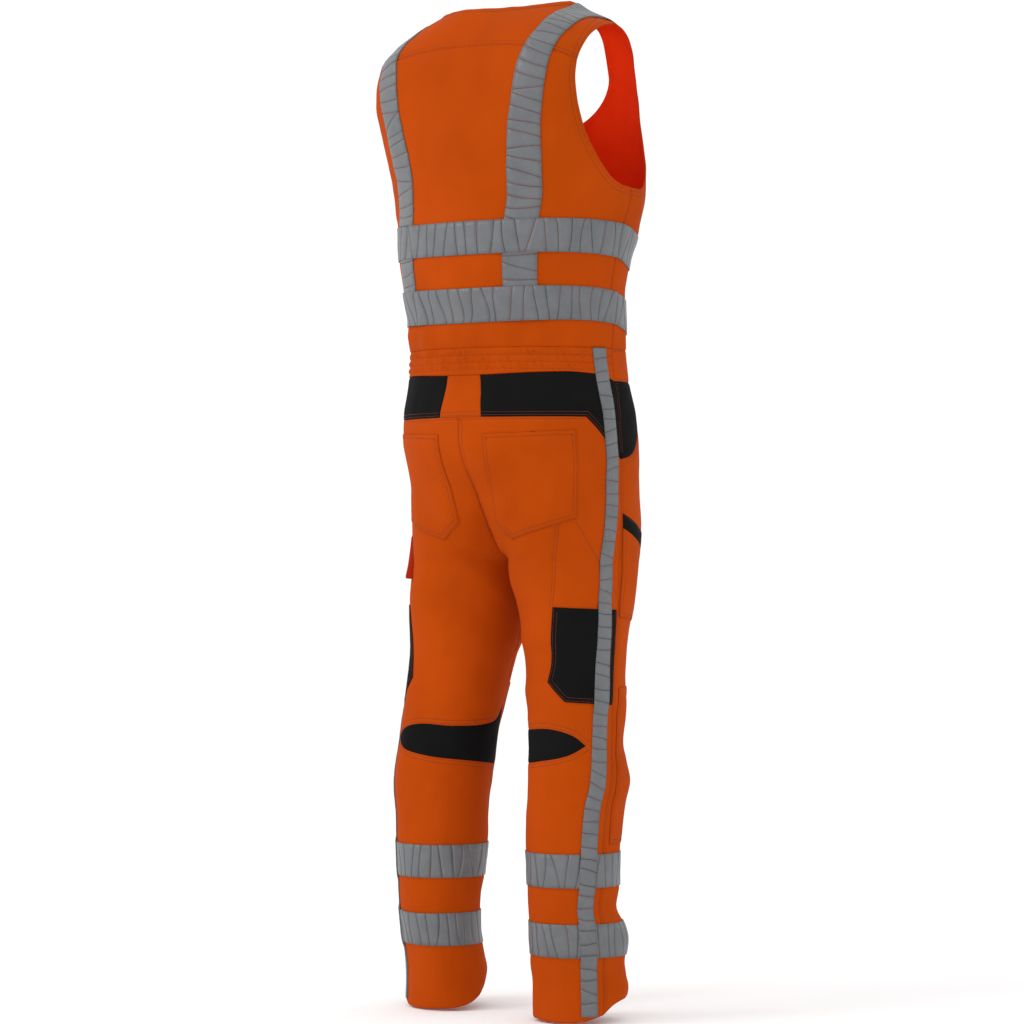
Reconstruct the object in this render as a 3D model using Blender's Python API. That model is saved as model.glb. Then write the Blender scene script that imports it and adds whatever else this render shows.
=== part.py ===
"""Hi-vis body trousers: a sleeveless zipped top sewn to work trousers, filled out with no wearer.

Every cloth piece is cut flat and then wrapped onto one shared form. The flat chart has two
directions: "around", the share of the way from the centre back (0) past the side (0.5) to the
centre front (1), negative on the wearer's right, and "height", in metres above the back hem.
Below the crotch, around starts and ends at the inseam of each leg and 0.5 is the outseam.
+Z is up and the front faces -Y. The origin lies between the two shoulder seams.
"""
import math
from collections import namedtuple

import bmesh
import bpy
from mathutils import Matrix, Vector

# Driving sizes, in metres.
SHOULDERS = Vector((0.0, -0.030, 1.511))    # where the shoulder seams carry it, above the hem
CLOTH = 0.0012                              # wall of the orange and black twill
TAPE = 0.0010                               # wall of the tape, the patch pockets and the loop
LAYER_GAP = 0.0003                          # between a panel and what is sewn on it
SEAM_GAP = 0.0004                           # between two panels, measured on the flat chart
WIDE_TAPE = 0.050
SIDE_TAPE = 0.025
CHART_WIDTH = 0.52                          # flat width of one side, centre back to centre front

# Heights of the main seams and bands above the back hem.
WAIST_SEAM = 1.0015
BAND_BOTTOM = 0.961
BAND_BOTTOM_FRONT = 0.953                   # the front half of the waistband is a little deeper
YOKE_BOTTOM = 0.898
HIP_POINT = 0.836                           # where both black hip pieces meet the outseam
CROTCH = 0.683
INSEAM_TOP = 0.58                           # below here a fold may run on across the inseam
FLY_BOTTOM = 0.862
BODY_BANDS = (1.0385, 1.1375)               # lower edges of the two bands round the body
BAND_FALL = 0.011                           # how much lower they are sewn on the fronts
LEG_BANDS = (0.0965, 0.2005)

# The form, as rings: outer and inner are the sideways reach of one side's oval (inner below 0 is
# cut off by the middle plane), back and front its reach from the middle, side_y the place of its
# outermost point, lean a shear that turns the toes out, square the exponent of the back half,
# and out_turn and in_turn the degrees by which the leg seams swing back and forward.
Ring = namedtuple("Ring", "height outer inner back front side_y lean square out_turn in_turn")
RINGS = [Ring(*row) for row in (
    (0.000, 0.192, 0.064, 0.060, 0.066, 0.001, -0.16, 2.0, 15, 30),
    (0.050, 0.191, 0.063, 0.061, 0.066, 0.001, -0.16, 2.0, 15, 30),
    (0.080, 0.192, 0.061, 0.065, 0.064, 0.003, -0.16, 2.0, 15, 30),
    (0.110, 0.196, 0.064, 0.071, 0.059, 0.008, -0.16, 2.0, 15, 30),
    (0.140, 0.196, 0.065, 0.076, 0.055, 0.012, -0.12, 2.0, 15, 30),
    (0.170, 0.193, 0.063, 0.081, 0.050, 0.015, -0.06, 2.0, 15, 30),
    (0.200, 0.194, 0.060, 0.081, 0.054, 0.013, -0.02, 2.0, 15, 30),
    (0.260, 0.196, 0.055, 0.082, 0.060, 0.011, 0.00, 2.0, 15, 32),
    (0.320, 0.200, 0.054, 0.082, 0.065, 0.009, 0.00, 2.0, 14, 34),
    (0.350, 0.203, 0.053, 0.079, 0.071, 0.005, 0.00, 2.0, 12, 35),
    (0.410, 0.197, 0.048, 0.071, 0.073, -0.001, 0.06, 2.0, 9, 35),
    (0.475, 0.191, 0.038, 0.066, 0.088, -0.011, 0.02, 2.0, 7, 28),
    (0.535, 0.186, 0.029, 0.060, 0.100, -0.020, 0.08, 2.0, 6, 20),
    (0.565, 0.185, 0.020, 0.065, 0.109, -0.024, 0.08, 2.0, 5, 16),
    (0.625, 0.186, 0.010, 0.073, 0.127, -0.030, 0.06, 2.0, 5, 8),
    (0.655, 0.185, 0.0045, 0.077, 0.135, -0.033, 0.03, 2.0, 4, 4),
    (CROTCH, 0.184, 0.000, 0.080, 0.1425, -0.035, 0.00, 2.0, 4, 0),
    (0.700, 0.1835, -0.0138, 0.085, 0.152, -0.035, 0.00, 2.0, 3, 0),
    (0.730, 0.183, -0.0323, 0.091, 0.162, -0.036, 0.00, 2.0, 2, 0),
    (0.790, 0.183, -0.0784, 0.102, 0.171, -0.032, 0.00, 2.0, 1, 0),
    (0.840, 0.187, -0.153, 0.124, 0.180, -0.024, 0.00, 2.0, 0, 0),
    (0.865, 0.189, -0.178, 0.131, 0.178, -0.018, 0.00, 2.0, 0, 0),
    (YOKE_BOTTOM, 0.190, -0.190, 0.131, 0.1685, -0.015, 0.00, 2.0, 0, 0),
    (0.955, 0.1825, -0.1825, 0.122, 0.153, -0.013, 0.00, 2.0, 0, 0),
    (1.000, 0.177, -0.177, 0.126, 0.152, -0.013, 0.00, 2.0, 0, 0),
    (1.040, 0.179, -0.179, 0.129, 0.147, -0.012, 0.00, 2.0, 0, 0),
    (1.088, 0.179, -0.179, 0.148, 0.150, -0.008, 0.00, 2.0, 0, 0),
    (1.136, 0.186, -0.186, 0.154, 0.152, -0.010, 0.00, 2.0, 0, 0),
    (1.190, 0.197, -0.197, 0.151, 0.174, -0.017, 0.00, 2.0, 0, 0),
    (1.226, 0.207, -0.207, 0.146, 0.175, -0.020, 0.00, 2.0, 0, 0),
    (1.260, 0.212, -0.212, 0.148, 0.168, -0.018, 0.00, 2.0, 0, 0),
    (1.285, 0.214, -0.214, 0.150, 0.162, -0.014, 0.00, 2.1, 0, 0),
    (1.330, 0.214, -0.214, 0.154, 0.150, -0.010, 0.00, 2.4, 0, 0),
    (1.405, 0.214, -0.214, 0.149, 0.128, -0.019, 0.00, 3.2, 0, 0),
    (1.438, 0.212, -0.212, 0.142, 0.110, -0.032, 0.00, 3.2, 0, 0),
    (1.470, 0.198, -0.198, 0.126, 0.088, -0.044, 0.00, 2.8, 0, 0),
    (1.490, 0.174, -0.174, 0.113, 0.073, -0.048, 0.00, 2.5, 0, 0),
    (1.500, 0.154, -0.154, 0.104, 0.062, -0.042, 0.00, 2.4, 0, 0),
    (1.511, 0.1275, -0.1275, 0.094, 0.050, -0.030, 0.00, 2.2, 0, 0),
    (1.530, 0.098, -0.098, 0.078, 0.030, -0.008, 0.00, 2.0, 0, 0),
)]

# The largest folds of the hanging cloth. A fold is a soft ridge (or trough, with a depth below 0)
# centred at (around, height), tilted from level towards the front, as (side, around, height,
# length, tilt in degrees, width, depth); side 0 stands for both sides.
Fold = namedtuple("Fold", "side around height length tilt width depth")
FOLDS = [Fold(*row) for row in (
    (0, 0.72, 0.168, 0.20, 6, 0.020, -0.0040),      # break of the hem over the foot
    (0, 0.72, 0.122, 0.20, -5, 0.020, 0.0035),
    (0, 0.76, 0.085, 0.16, 4, 0.018, -0.0030),
    (0, 0.70, 0.048, 0.22, 0, 0.022, 0.0045),
    (0, 0.70, 0.405, 0.16, 0, 0.028, -0.0035),      # bend of the knee
    (0, 0.70, 0.352, 0.18, 4, 0.030, 0.0040),
    (0, 0.24, 0.330, 0.12, 10, 0.024, -0.0025),
    (1, 0.97, 0.050, 0.16, 0, 0.022, 0.0060),
    (0, 0.17, 0.610, 0.16, 35, 0.026, -0.0040),     # drag lines from the crotch
    (0, 0.16, 0.730, 0.15, 55, 0.024, -0.0030),
    (0, 0.86, 0.620, 0.14, -38, 0.026, -0.0035),
    (0, 0.25, 1.025, 0.30, 0, 0.020, 0.0030),       # cloth that falls over the waist elastic
    (0, 0.10, 1.025, 0.20, 0, 0.020, 0.0025),
    (1, 0.38, 1.215, 0.12, 60, 0.026, -0.0030),     # below the armholes
    (-1, 0.40, 1.205, 0.11, 55, 0.026, -0.0030),
)]

# Lattice that all cloth is faceted on: columns on each side, and runs of rows (top, count).
COLUMNS = 14
ROW_RUNS = ((0.28, 11), (0.66, 8), (0.90, 6), (1.24, 7), (1.44, 5), (1.53, 5))
TOP = RINGS[-1].height
TINY = 1e-7                                 # places on the chart nearer than this are the same


# ---------------------------------------------------------------------------------------------
# The shared form
# ---------------------------------------------------------------------------------------------

def curve_slopes(heights, values):
    """Slopes for a smooth curve through the values that never overshoots them."""
    rises = [(b - a) / (q - p) for a, b, p, q in zip(values, values[1:], heights, heights[1:])]
    slopes = [rises[0]]
    for index in range(1, len(values) - 1):
        before, after = rises[index - 1], rises[index]
        gap_before = heights[index] - heights[index - 1]
        gap_after = heights[index + 1] - heights[index]
        if before * after <= 0:
            slopes.append(0.0)
            continue
        weight_before = 2 * gap_after + gap_before
        weight_after = gap_after + 2 * gap_before
        total = weight_before + weight_after
        slopes.append(total / (weight_before / before + weight_after / after))
    return slopes + [rises[-1]]


RING_HEIGHTS = [ring.height for ring in RINGS]
RING_SLOPES = [curve_slopes(RING_HEIGHTS, [ring[column] for ring in RINGS])
               for column in range(1, len(Ring._fields))]


def ring_at(height):
    height = min(max(height, 0.0), TOP)
    index = max(i for i in range(len(RINGS) - 1) if RING_HEIGHTS[i] <= height)
    low, high = RINGS[index], RINGS[index + 1]
    step = high.height - low.height
    t = (height - low.height) / step
    values = [height]
    for column in range(1, len(Ring._fields)):
        slope = RING_SLOPES[column - 1]
        values.append((1 + 2 * t) * (1 - t) ** 2 * low[column] + t * (1 - t) ** 2 * step * slope[index]
                      + t * t * (3 - 2 * t) * high[column] + t * t * (t - 1) * step * slope[index + 1])
    return Ring(*values)


def smooth_point(side, around, height):
    """Point of the form without folds; around may run a little past 0 and 1."""
    ring = ring_at(height)
    centre = (ring.outer + ring.inner) / 2
    half = (ring.outer - ring.inner) / 2
    cut_off = math.asin(min(max(centre / half, 0.0), 1.0))
    start = -cut_off - math.radians(ring.in_turn)
    middle = math.pi / 2 - math.radians(ring.out_turn)
    end = math.pi + cut_off - math.radians(ring.in_turn)
    if around < 0.5:
        angle = start + (middle - start) * around * 2
    else:
        angle = middle + (end - middle) * (around * 2 - 1)
    behind = math.cos(angle) > 0
    reach = ring.back - ring.side_y if behind else ring.front + ring.side_y
    power = 2 / ring.square if behind else 1.0
    y = reach * math.copysign(abs(math.cos(angle)) ** power, math.cos(angle))
    x = centre + half * math.copysign(abs(math.sin(angle)) ** power, math.sin(angle)) + ring.lean * y
    return Vector((side * x, ring.side_y + y, height))


def fold_lift(side, around, height):
    lift = 0.0
    for fold in FOLDS:
        if fold.side == -side:
            continue
        across = around - fold.around
        if height < INSEAM_TOP:
            across -= round(across)
        across *= CHART_WIDTH
        up = height - fold.height
        tilt = math.radians(fold.tilt)
        along = across * math.cos(tilt) + up * math.sin(tilt)
        aside = up * math.cos(tilt) - across * math.sin(tilt)
        end = max(0.0, 1 - (2 * along / fold.length) ** 2)
        lift += fold.depth * end * math.exp(-(aside / fold.width) ** 2)
    return lift


def form_normal(side, around, height):
    step = 0.004
    across = smooth_point(side, around + step, height) - smooth_point(side, around - step, height)
    up = smooth_point(side, around, min(height + step, TOP)) - smooth_point(side, around, height - step)
    return side * up.cross(across).normalized()


def row_heights():
    heights = [0.0]
    for top, count in ROW_RUNS:
        bottom = heights[-1]
        heights += [bottom + (top - bottom) * (i + 1) / count for i in range(count)]
    return heights


ROWS = row_heights()


def make_lattice(side):
    """Points and normals of the lattice on one side, as lattice[column][row]."""
    lattice = []
    for column in range(COLUMNS + 1):
        around = column / COLUMNS
        line = []
        for height in ROWS:
            normal = form_normal(side, around, height)
            point = smooth_point(side, around, height) + normal * fold_lift(side, around, height)
            line.append((point, normal))
        lattice.append(line)
    return lattice


LATTICE = {side: make_lattice(side) for side in (-1, 1)}


def wrap(side, around, height, lift):
    """A chart point on the faceted form, lifted off it.

    Each lattice cell is two triangles, split from its low left to its high right corner on the
    flat chart, where the right half of the garment lies at negative around.
    """
    column = min(int(abs(around) * COLUMNS), COLUMNS - 1)
    row = max(i for i in range(len(ROWS) - 1) if ROWS[i] <= height + TINY)
    across = abs(around) * COLUMNS - column
    up = (height - ROWS[row]) / (ROWS[row + 1] - ROWS[row])
    left, right = LATTICE[side][column], LATTICE[side][column + 1]
    if side < 0:
        across = 1 - across
        left, right = right, left
    low_left, high_left = left[row], left[row + 1]
    low_right, high_right = right[row], right[row + 1]
    mixed = []
    for part in (0, 1):
        if up <= across:
            value = (low_left[part] + across * (low_right[part] - low_left[part])
                     + up * (high_right[part] - low_right[part]))
        else:
            value = (low_left[part] + up * (high_left[part] - low_left[part])
                     + across * (high_right[part] - high_left[part]))
        mixed.append(value)
    return mixed[0] + mixed[1] * lift


def around_at(side, height, across):
    """Share around at a distance, in metres, from the side seam; negative is towards the back."""
    steps = 160
    points = [smooth_point(side, i / steps, height) for i in range(steps + 1)]
    lengths = [0.0]
    for a, b in zip(points, points[1:]):
        lengths.append(lengths[-1] + (b - a).length)
    wanted = lengths[steps // 2] + across
    index = max(i for i in range(steps) if lengths[i] <= wanted)
    return (index + (wanted - lengths[index]) / (lengths[index + 1] - lengths[index])) / steps


# ---------------------------------------------------------------------------------------------
# Cutting flat and wrapping
# ---------------------------------------------------------------------------------------------

collection = bpy.data.collections.new("hi_vis_bib_trousers")


def material(name, colour, roughness, metallic=0.0):
    made = bpy.data.materials.new(name)
    made.use_nodes = True
    shader = made.node_tree.nodes["Principled BSDF"]
    shader.inputs["Base Color"].default_value = (*colour, 1.0)
    shader.inputs["Roughness"].default_value = roughness
    shader.inputs["Metallic"].default_value = metallic
    return made


def add_object(name, mesh, surface):
    data = bpy.data.meshes.new(name)
    mesh.to_mesh(data)
    mesh.free()
    made = bpy.data.objects.new(name, data)
    data.materials.append(surface)
    data.shade_smooth()
    data.set_sharp_from_angle(angle=math.radians(50))
    collection.objects.link(made)
    return made


def inset(outline, distance):
    """The outline in chart metres, with each edge moved inwards by a distance."""
    points = [Vector((around * CHART_WIDTH, height)) for around, height in outline]
    area = sum(a.x * b.y - b.x * a.y for a, b in zip(points, points[1:] + points[:1]))
    if area < 0:
        points.reverse()
    moved = []
    for before, point, after in zip(points[-1:] + points[:-1], points, points[1:] + points[:1]):
        normals = [Vector((a.y - b.y, b.x - a.x)).normalized() for a, b in ((before, point), (point, after))]
        moved.append(point + (normals[0] + normals[1]) * distance / (1 + normals[0].dot(normals[1])))
    return moved


def contains(outline, point):
    inside = False
    for a, b in zip(outline, outline[1:] + outline[:1]):
        if (a.y > point.y) != (b.y > point.y):
            if point.x < a.x + (point.y - a.y) * (b.x - a.x) / (b.y - a.y):
                inside = not inside
    return inside


def cut_along(mesh, start, end):
    """Cuts the flat mesh along the line through two points, where its faces lie near them."""
    margin = 0.002                          # how near the line's box a face counts
    low = (min(start.x, end.x) - margin, min(start.y, end.y) - margin)
    high = (max(start.x, end.x) + margin, max(start.y, end.y) + margin)
    near = []
    for face in mesh.faces:
        across = [vertex.co.x for vertex in face.verts]
        up = [vertex.co.y for vertex in face.verts]
        if max(across) > low[0] and min(across) < high[0] and max(up) > low[1] and min(up) < high[1]:
            near.append(face)
    edges = {edge for face in near for edge in face.edges}
    corners = {vertex for face in near for vertex in face.verts}
    normal = Vector((start.y - end.y, end.x - start.x, 0.0))
    bmesh.ops.bisect_plane(mesh, geom=near + list(edges) + list(corners), dist=TINY,
                           plane_co=(start.x, start.y, 0.0), plane_no=normal)


def flat_piece(outline, creases):
    """The lattice cells inside an outline, as a flat mesh cut to its edge and along its creases."""
    columns = [point.x / CHART_WIDTH * COLUMNS for point in outline]
    first, last = math.floor(min(columns)), math.ceil(max(columns))
    bottom = max(i for i in range(len(ROWS) - 1) if ROWS[i] <= min(point.y for point in outline))
    top = min(i for i in range(1, len(ROWS)) if ROWS[i] >= max(point.y for point in outline) - TINY)
    wide, tall = last - first, top - bottom
    mesh = bmesh.new()
    bmesh.ops.create_grid(mesh, x_segments=wide, y_segments=tall, size=1.0)
    for vertex in mesh.verts:
        column = first + round((vertex.co.x + 1) / 2 * wide)
        row = bottom + round((vertex.co.y + 1) / 2 * tall)
        vertex.co = (column / COLUMNS * CHART_WIDTH, ROWS[row], 0.0)
    bmesh.ops.triangulate(mesh, faces=mesh.faces[:], quad_method="FIXED")
    for start, end in list(zip(outline, outline[1:] + outline[:1])) + creases:
        cut_along(mesh, start, end)
    outside = [face for face in mesh.faces if not contains(outline, face.calc_center_median())]
    bmesh.ops.delete(mesh, geom=outside, context="FACES")
    bmesh.ops.triangulate(mesh, faces=mesh.faces[:])
    return mesh


def trapezium(value, low, high, ramp):
    return min(max(min(value - low, high - value) / ramp + 1, 0.0), 1.0)


def cloth(name, outline, surface, layers=(-CLOTH, 0.0), over=(), bow=None, seam=SEAM_GAP):
    """A sewn piece: its outline on the chart, and its inner and outer height above the form.

    Each entry of over is (direction, low, high): between these places the piece runs over
    another, one layer up, and ramps down beside it. A bow is how far the middle of a strap
    stands off between its sewn ends, at its bottom and at its top.
    """
    edge = inset(outline, seam / 2)
    ramp = 0.006
    low_edge, high_edge = (Vector((pick(p.x for p in edge), pick(p.y for p in edge))) for pick in (min, max))
    creases = []
    for direction, low, high in over:
        scale = CHART_WIDTH if direction == "around" else 1.0
        for place in (low * scale - ramp, low * scale, high * scale, high * scale + ramp):
            if direction == "around":
                creases.append((Vector((place, low_edge.y)), Vector((place, high_edge.y))))
            else:
                creases.append((Vector((low_edge.x, place)), Vector((high_edge.x, place))))
    if bow:
        for share in (0.1, 0.25, 0.5, 0.75, 0.9):
            place = low_edge.x + (high_edge.x - low_edge.x) * share
            creases.append((Vector((place, low_edge.y)), Vector((place, high_edge.y))))
    mesh = flat_piece(edge, creases)
    sheet_depth = 0.01
    bmesh.ops.solidify(mesh, geom=mesh.verts[:] + mesh.edges[:] + mesh.faces[:], thickness=sheet_depth)
    middle = sum(vertex.co.z for vertex in mesh.verts) / len(mesh.verts)
    one_side = low_edge.x * high_edge.x > 0
    for vertex in mesh.verts:
        lift = layers[1] if vertex.co.z > middle else layers[0]
        raised = 0.0
        for direction, low, high in over:
            scale = CHART_WIDTH if direction == "around" else 1.0
            place = vertex.co.x if direction == "around" else vertex.co.y
            raised = max(raised, trapezium(place, low * scale, high * scale, ramp))
        lift += raised * (TAPE + LAYER_GAP)
        if bow:
            share = (vertex.co.x - low_edge.x) / (high_edge.x - low_edge.x)
            up = (vertex.co.y - low_edge.y) / (high_edge.y - low_edge.y)
            lift += (bow[0] + (bow[1] - bow[0]) * up) * (1 - (2 * share - 1) ** 4)
        side = 1 if vertex.co.x + (low_edge.x + high_edge.x) * 1e-6 > 0 else -1
        point = wrap(side, vertex.co.x / CHART_WIDTH, vertex.co.y, lift)
        if one_side:
            point.x = side * max(side * point.x, SEAM_GAP / 2)
        vertex.co = point - SHOULDERS
    bmesh.ops.triangulate(mesh, faces=mesh.faces[:])
    bmesh.ops.recalc_face_normals(mesh, faces=mesh.faces[:])
    return add_object(name, mesh, surface)


def mirrored(outline):
    return [(-around, height) for around, height in outline]


def both_sides(name, outline, surface, **options):
    cloth(name + "_left", outline, surface, **options)
    over = [(way, -high, -low) if way == "around" else (way, low, high)
            for way, low, high in options.pop("over", ())]
    cloth(name + "_right", mirrored(outline), surface, over=over, **options)


def whole(half):
    """An outline across the centre back from its left half, which starts and ends there."""
    return half + [point for point in reversed(mirrored(half)) if point[0] != 0]


def strip(line, width, reach=0.08):
    """Outline of a tape along places (distance from the side seam, height), in even steps."""
    places = [line[0]]
    for (across, height), (next_across, next_height) in zip(line, line[1:]):
        count = max(1, round(abs(next_height - height) / reach))
        for i in range(1, count + 1):
            share = i / count
            places.append((across + (next_across - across) * share, height + (next_height - height) * share))
    edges = [[(around_at(1, height, across + offset), height) for across, height in places]
             for offset in (-width / 2, width / 2)]
    return edges[0] + edges[1][::-1]


for leftover in list(bpy.data.objects):
    bpy.data.objects.remove(leftover)
bpy.context.scene.collection.children.link(collection)

orange = material("orange_twill", (0.53, 0.075, 0.005), 0.85)
black = material("black_twill", (0.008, 0.008, 0.008), 0.80)
silver = material("reflective_tape", (0.17, 0.17, 0.18), 0.45)
zip_cloth = material("zip_tape", (0.02, 0.02, 0.02), 0.85)
metal = material("zip_metal", (0.45, 0.45, 0.46), 0.35, 1.0)

# ---------------------------------------------------------------------------------------------
# Top: back yoke, back, fronts
# ---------------------------------------------------------------------------------------------

FRONT_EDGE = 0.990                          # where the fronts stop beside the zip
YOKE_SEAM = [(0.0, 1.451), (0.12, 1.444), (0.225, 1.435), (0.313, 1.4206)]
NECK_BACK = [(0.5, 1.5285), (0.395, 1.5237), (0.229, 1.5169), (0.057, 1.5143), (0.0, 1.5138)]
NECK_FRONT = [(0.5, 1.5285), (0.60, 1.522), (0.70, 1.510), (0.769, 1.493), (0.824, 1.450),
              (0.844, 1.416), (0.870, 1.396), (0.905, 1.379), (0.956, 1.363), (FRONT_EDGE, 1.356)]
ARMHOLE_YOKE = [(0.313, 1.4206), (0.322, 1.437), (0.352, 1.4637), (0.42, 1.485), (0.5, 1.4975)]
ARMHOLE_BACK = [(0.5, 1.2408), (0.446, 1.2455), (0.407, 1.257), (0.379, 1.2766), (0.358, 1.300),
                (0.341, 1.3257), (0.321, 1.3683), (0.313, 1.3974), (0.313, 1.4206)]
ARMHOLE_FRONT = [(0.5, 1.4975), (0.57, 1.491), (0.64, 1.475), (0.675, 1.450), (0.690, 1.420),
                 (0.680, 1.380), (0.655, 1.320), (0.637, 1.275), (0.60, 1.247), (0.56, 1.2415),
                 (0.5, 1.2408)]

cloth("back_yoke", whole(YOKE_SEAM + ARMHOLE_YOKE[1:] + NECK_BACK), orange)
cloth("back_panel", whole([(0.0, WAIST_SEAM), (0.5, WAIST_SEAM)] + ARMHOLE_BACK + YOKE_SEAM[-2::-1]), orange)
both_sides("front", [(0.5, WAIST_SEAM), (FRONT_EDGE, WAIST_SEAM)] + NECK_FRONT[::-1] + ARMHOLE_FRONT, orange)

# ---------------------------------------------------------------------------------------------
# Waist and hips: bands, the yoke's orange centre, black inserts and pocket facings
# ---------------------------------------------------------------------------------------------

YOKE_CENTRE_TOP = 0.055
YOKE_CENTRE_BOTTOM = 0.066
INSERT_CORNER = (0.364, YOKE_BOTTOM)
FACING_CURVE = [(0.5, HIP_POINT), (0.56, 0.843), (0.615, 0.858), (0.66, 0.885), (0.69, 0.920),
                (0.70, BAND_BOTTOM_FRONT)]

cloth("waistband_back", whole([(0.0, BAND_BOTTOM), (0.44, BAND_BOTTOM), (0.5, BAND_BOTTOM_FRONT),
                               (0.5, WAIST_SEAM), (0.0, WAIST_SEAM)]), orange)
both_sides("waistband_front", [(0.5, BAND_BOTTOM_FRONT), (FRONT_EDGE, BAND_BOTTOM_FRONT),
                               (FRONT_EDGE, WAIST_SEAM), (0.5, WAIST_SEAM)], orange)
cloth("hip_yoke", whole([(0.0, YOKE_BOTTOM), (YOKE_CENTRE_BOTTOM, YOKE_BOTTOM), (YOKE_CENTRE_TOP, BAND_BOTTOM),
                         (0.0, BAND_BOTTOM)]), orange)
both_sides("hip_insert", [(YOKE_CENTRE_BOTTOM, YOKE_BOTTOM), INSERT_CORNER, (0.5, HIP_POINT),
                          (0.5, BAND_BOTTOM_FRONT), (0.44, BAND_BOTTOM), (YOKE_CENTRE_TOP, BAND_BOTTOM)],
           black)
both_sides("pocket_facing", FACING_CURVE + [(0.5, BAND_BOTTOM_FRONT)], black)

# ---------------------------------------------------------------------------------------------
# Legs: backs with a black insert behind the knee, and fronts
# ---------------------------------------------------------------------------------------------

KNEE_INSERT = [(0.0, 0.370), (0.16, 0.3795), (0.268, 0.386), (0.364, 0.397), (0.411, 0.4107),
               (0.373, 0.425), (0.303, 0.434), (0.20, 0.4315), (0.11, 0.4335), (0.05, 0.441), (0.0, 0.462)]
HEM_BACK = [(0.0, 0.030), (0.07, 0.016), (0.16, 0.003), (0.24, 0.0005), (0.42, 0.0005), (0.5, 0.010)]
HEM_FRONT = [(0.5, 0.010), (0.56, 0.024), (0.68, 0.032), (0.84, 0.036), (1.0, 0.030)]

both_sides("leg_back", HEM_BACK + [(0.5, HIP_POINT), INSERT_CORNER, (0.0, YOKE_BOTTOM)] + KNEE_INSERT[::-1],
           orange)
both_sides("knee_back", KNEE_INSERT, black)
both_sides("leg_front", HEM_FRONT + [(1.0, FLY_BOTTOM), (FRONT_EDGE, FLY_BOTTOM),
                                   (FRONT_EDGE, BAND_BOTTOM_FRONT)]
           + FACING_CURVE[::-1], orange)

# ---------------------------------------------------------------------------------------------
# Patches: back pockets, ruler pockets, front thigh pockets with a black edge, knee pockets, loop
# ---------------------------------------------------------------------------------------------

PATCH = (LAYER_GAP, LAYER_GAP + TAPE)
BACK_POCKET = [(0.071, 0.8723), (0.332, 0.878), (0.349, 0.748), (0.150, 0.715), (0.077, 0.742)]
RULER_TOP = 0.6155                          # where the side tape runs on to a ruler pocket
RULER_BOTTOM = 0.4695
RULER_POCKET_RIGHT = [(-0.312, 0.6155), (-0.494, 0.611), (-0.494, 0.470), (-0.350, 0.475), (-0.289, 0.504)]
RULER_POCKET_LEFT = [(0.375, 0.6155), (0.500, 0.611), (0.500, 0.470), (0.413, 0.475), (0.352, 0.504)]
THIGH_EDGE = [(0.508, 0.733), (0.60, 0.712), (0.72, 0.690), (0.72, 0.712), (0.60, 0.735), (0.508, 0.755)]
THIGH_POCKET = [(0.508, 0.600), (0.71, 0.590), (0.72, 0.690), (0.60, 0.712), (0.508, 0.733)]
KNEE_POCKET = [(0.53, 0.264), (0.93, 0.264), (0.95, 0.495), (0.53, 0.495)]
LOOP = [(0.33, 0.655), (0.415, 0.655), (0.415, 0.722), (0.33, 0.722)]
LOOP_BOW = (0.012, 0.004)                   # how far the loop stands off the leg, at its bottom and top

both_sides("back_pocket", BACK_POCKET, orange, layers=PATCH)
cloth("ruler_pocket_right", RULER_POCKET_RIGHT, black, layers=PATCH)
cloth("ruler_pocket_left", RULER_POCKET_LEFT, black, layers=PATCH)
both_sides("thigh_pocket", THIGH_POCKET, orange, layers=PATCH)
both_sides("thigh_pocket_edge", THIGH_EDGE, black, layers=PATCH)
both_sides("knee_pocket", KNEE_POCKET, orange, layers=PATCH)
cloth("hammer_loop", LOOP, orange, layers=PATCH, bow=LOOP_BOW)

# ---------------------------------------------------------------------------------------------
# Reflective tape: braces under the two body bands, leg bands under the side tapes
# ---------------------------------------------------------------------------------------------

BRACE = [(0.152, 1.046), (0.152, 1.114), (0.145, 1.190), (0.127, 1.346), (0.116, 1.390), (0.122, 1.420),
         (0.137, 1.444), (0.155, 1.458), (0.235, 1.491), (0.411, 1.5155), (0.5, 1.5225), (0.60, 1.5165),
         (0.70, 1.5035), (0.755, 1.490), (0.800, 1.455), (0.822, 1.405), (0.832, 1.330), (0.836, 1.190),
         (0.848, 1.130), (0.848, 1.046), (0.755, 1.046), (0.752, 1.130), (0.745, 1.190), (0.738, 1.330),
         (0.733, 1.395), (0.722, 1.437), (0.698, 1.465), (0.640, 1.4865), (0.56, 1.4985), (0.5, 1.5015),
         (0.430, 1.500), (0.329, 1.486), (0.257, 1.4614), (0.226, 1.438), (0.209, 1.390), (0.214, 1.346),
         (0.232, 1.190), (0.246, 1.114), (0.246, 1.046)]
BRACE_BACK = ("around", 0.138, 0.256)       # the stretch of a body band that covers a brace
BRACE_FRONT = ("around", 0.730, 0.862)
SIDE_TAPE_LINE = [(-0.027, WAIST_SEAM), (-0.026, 0.955), (-0.020, 0.870), (-0.020, 0.778), (-0.028, 0.685),
                  (-0.030, 0.616), (-0.024, 0.478), (-0.023, 0.008)]

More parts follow.
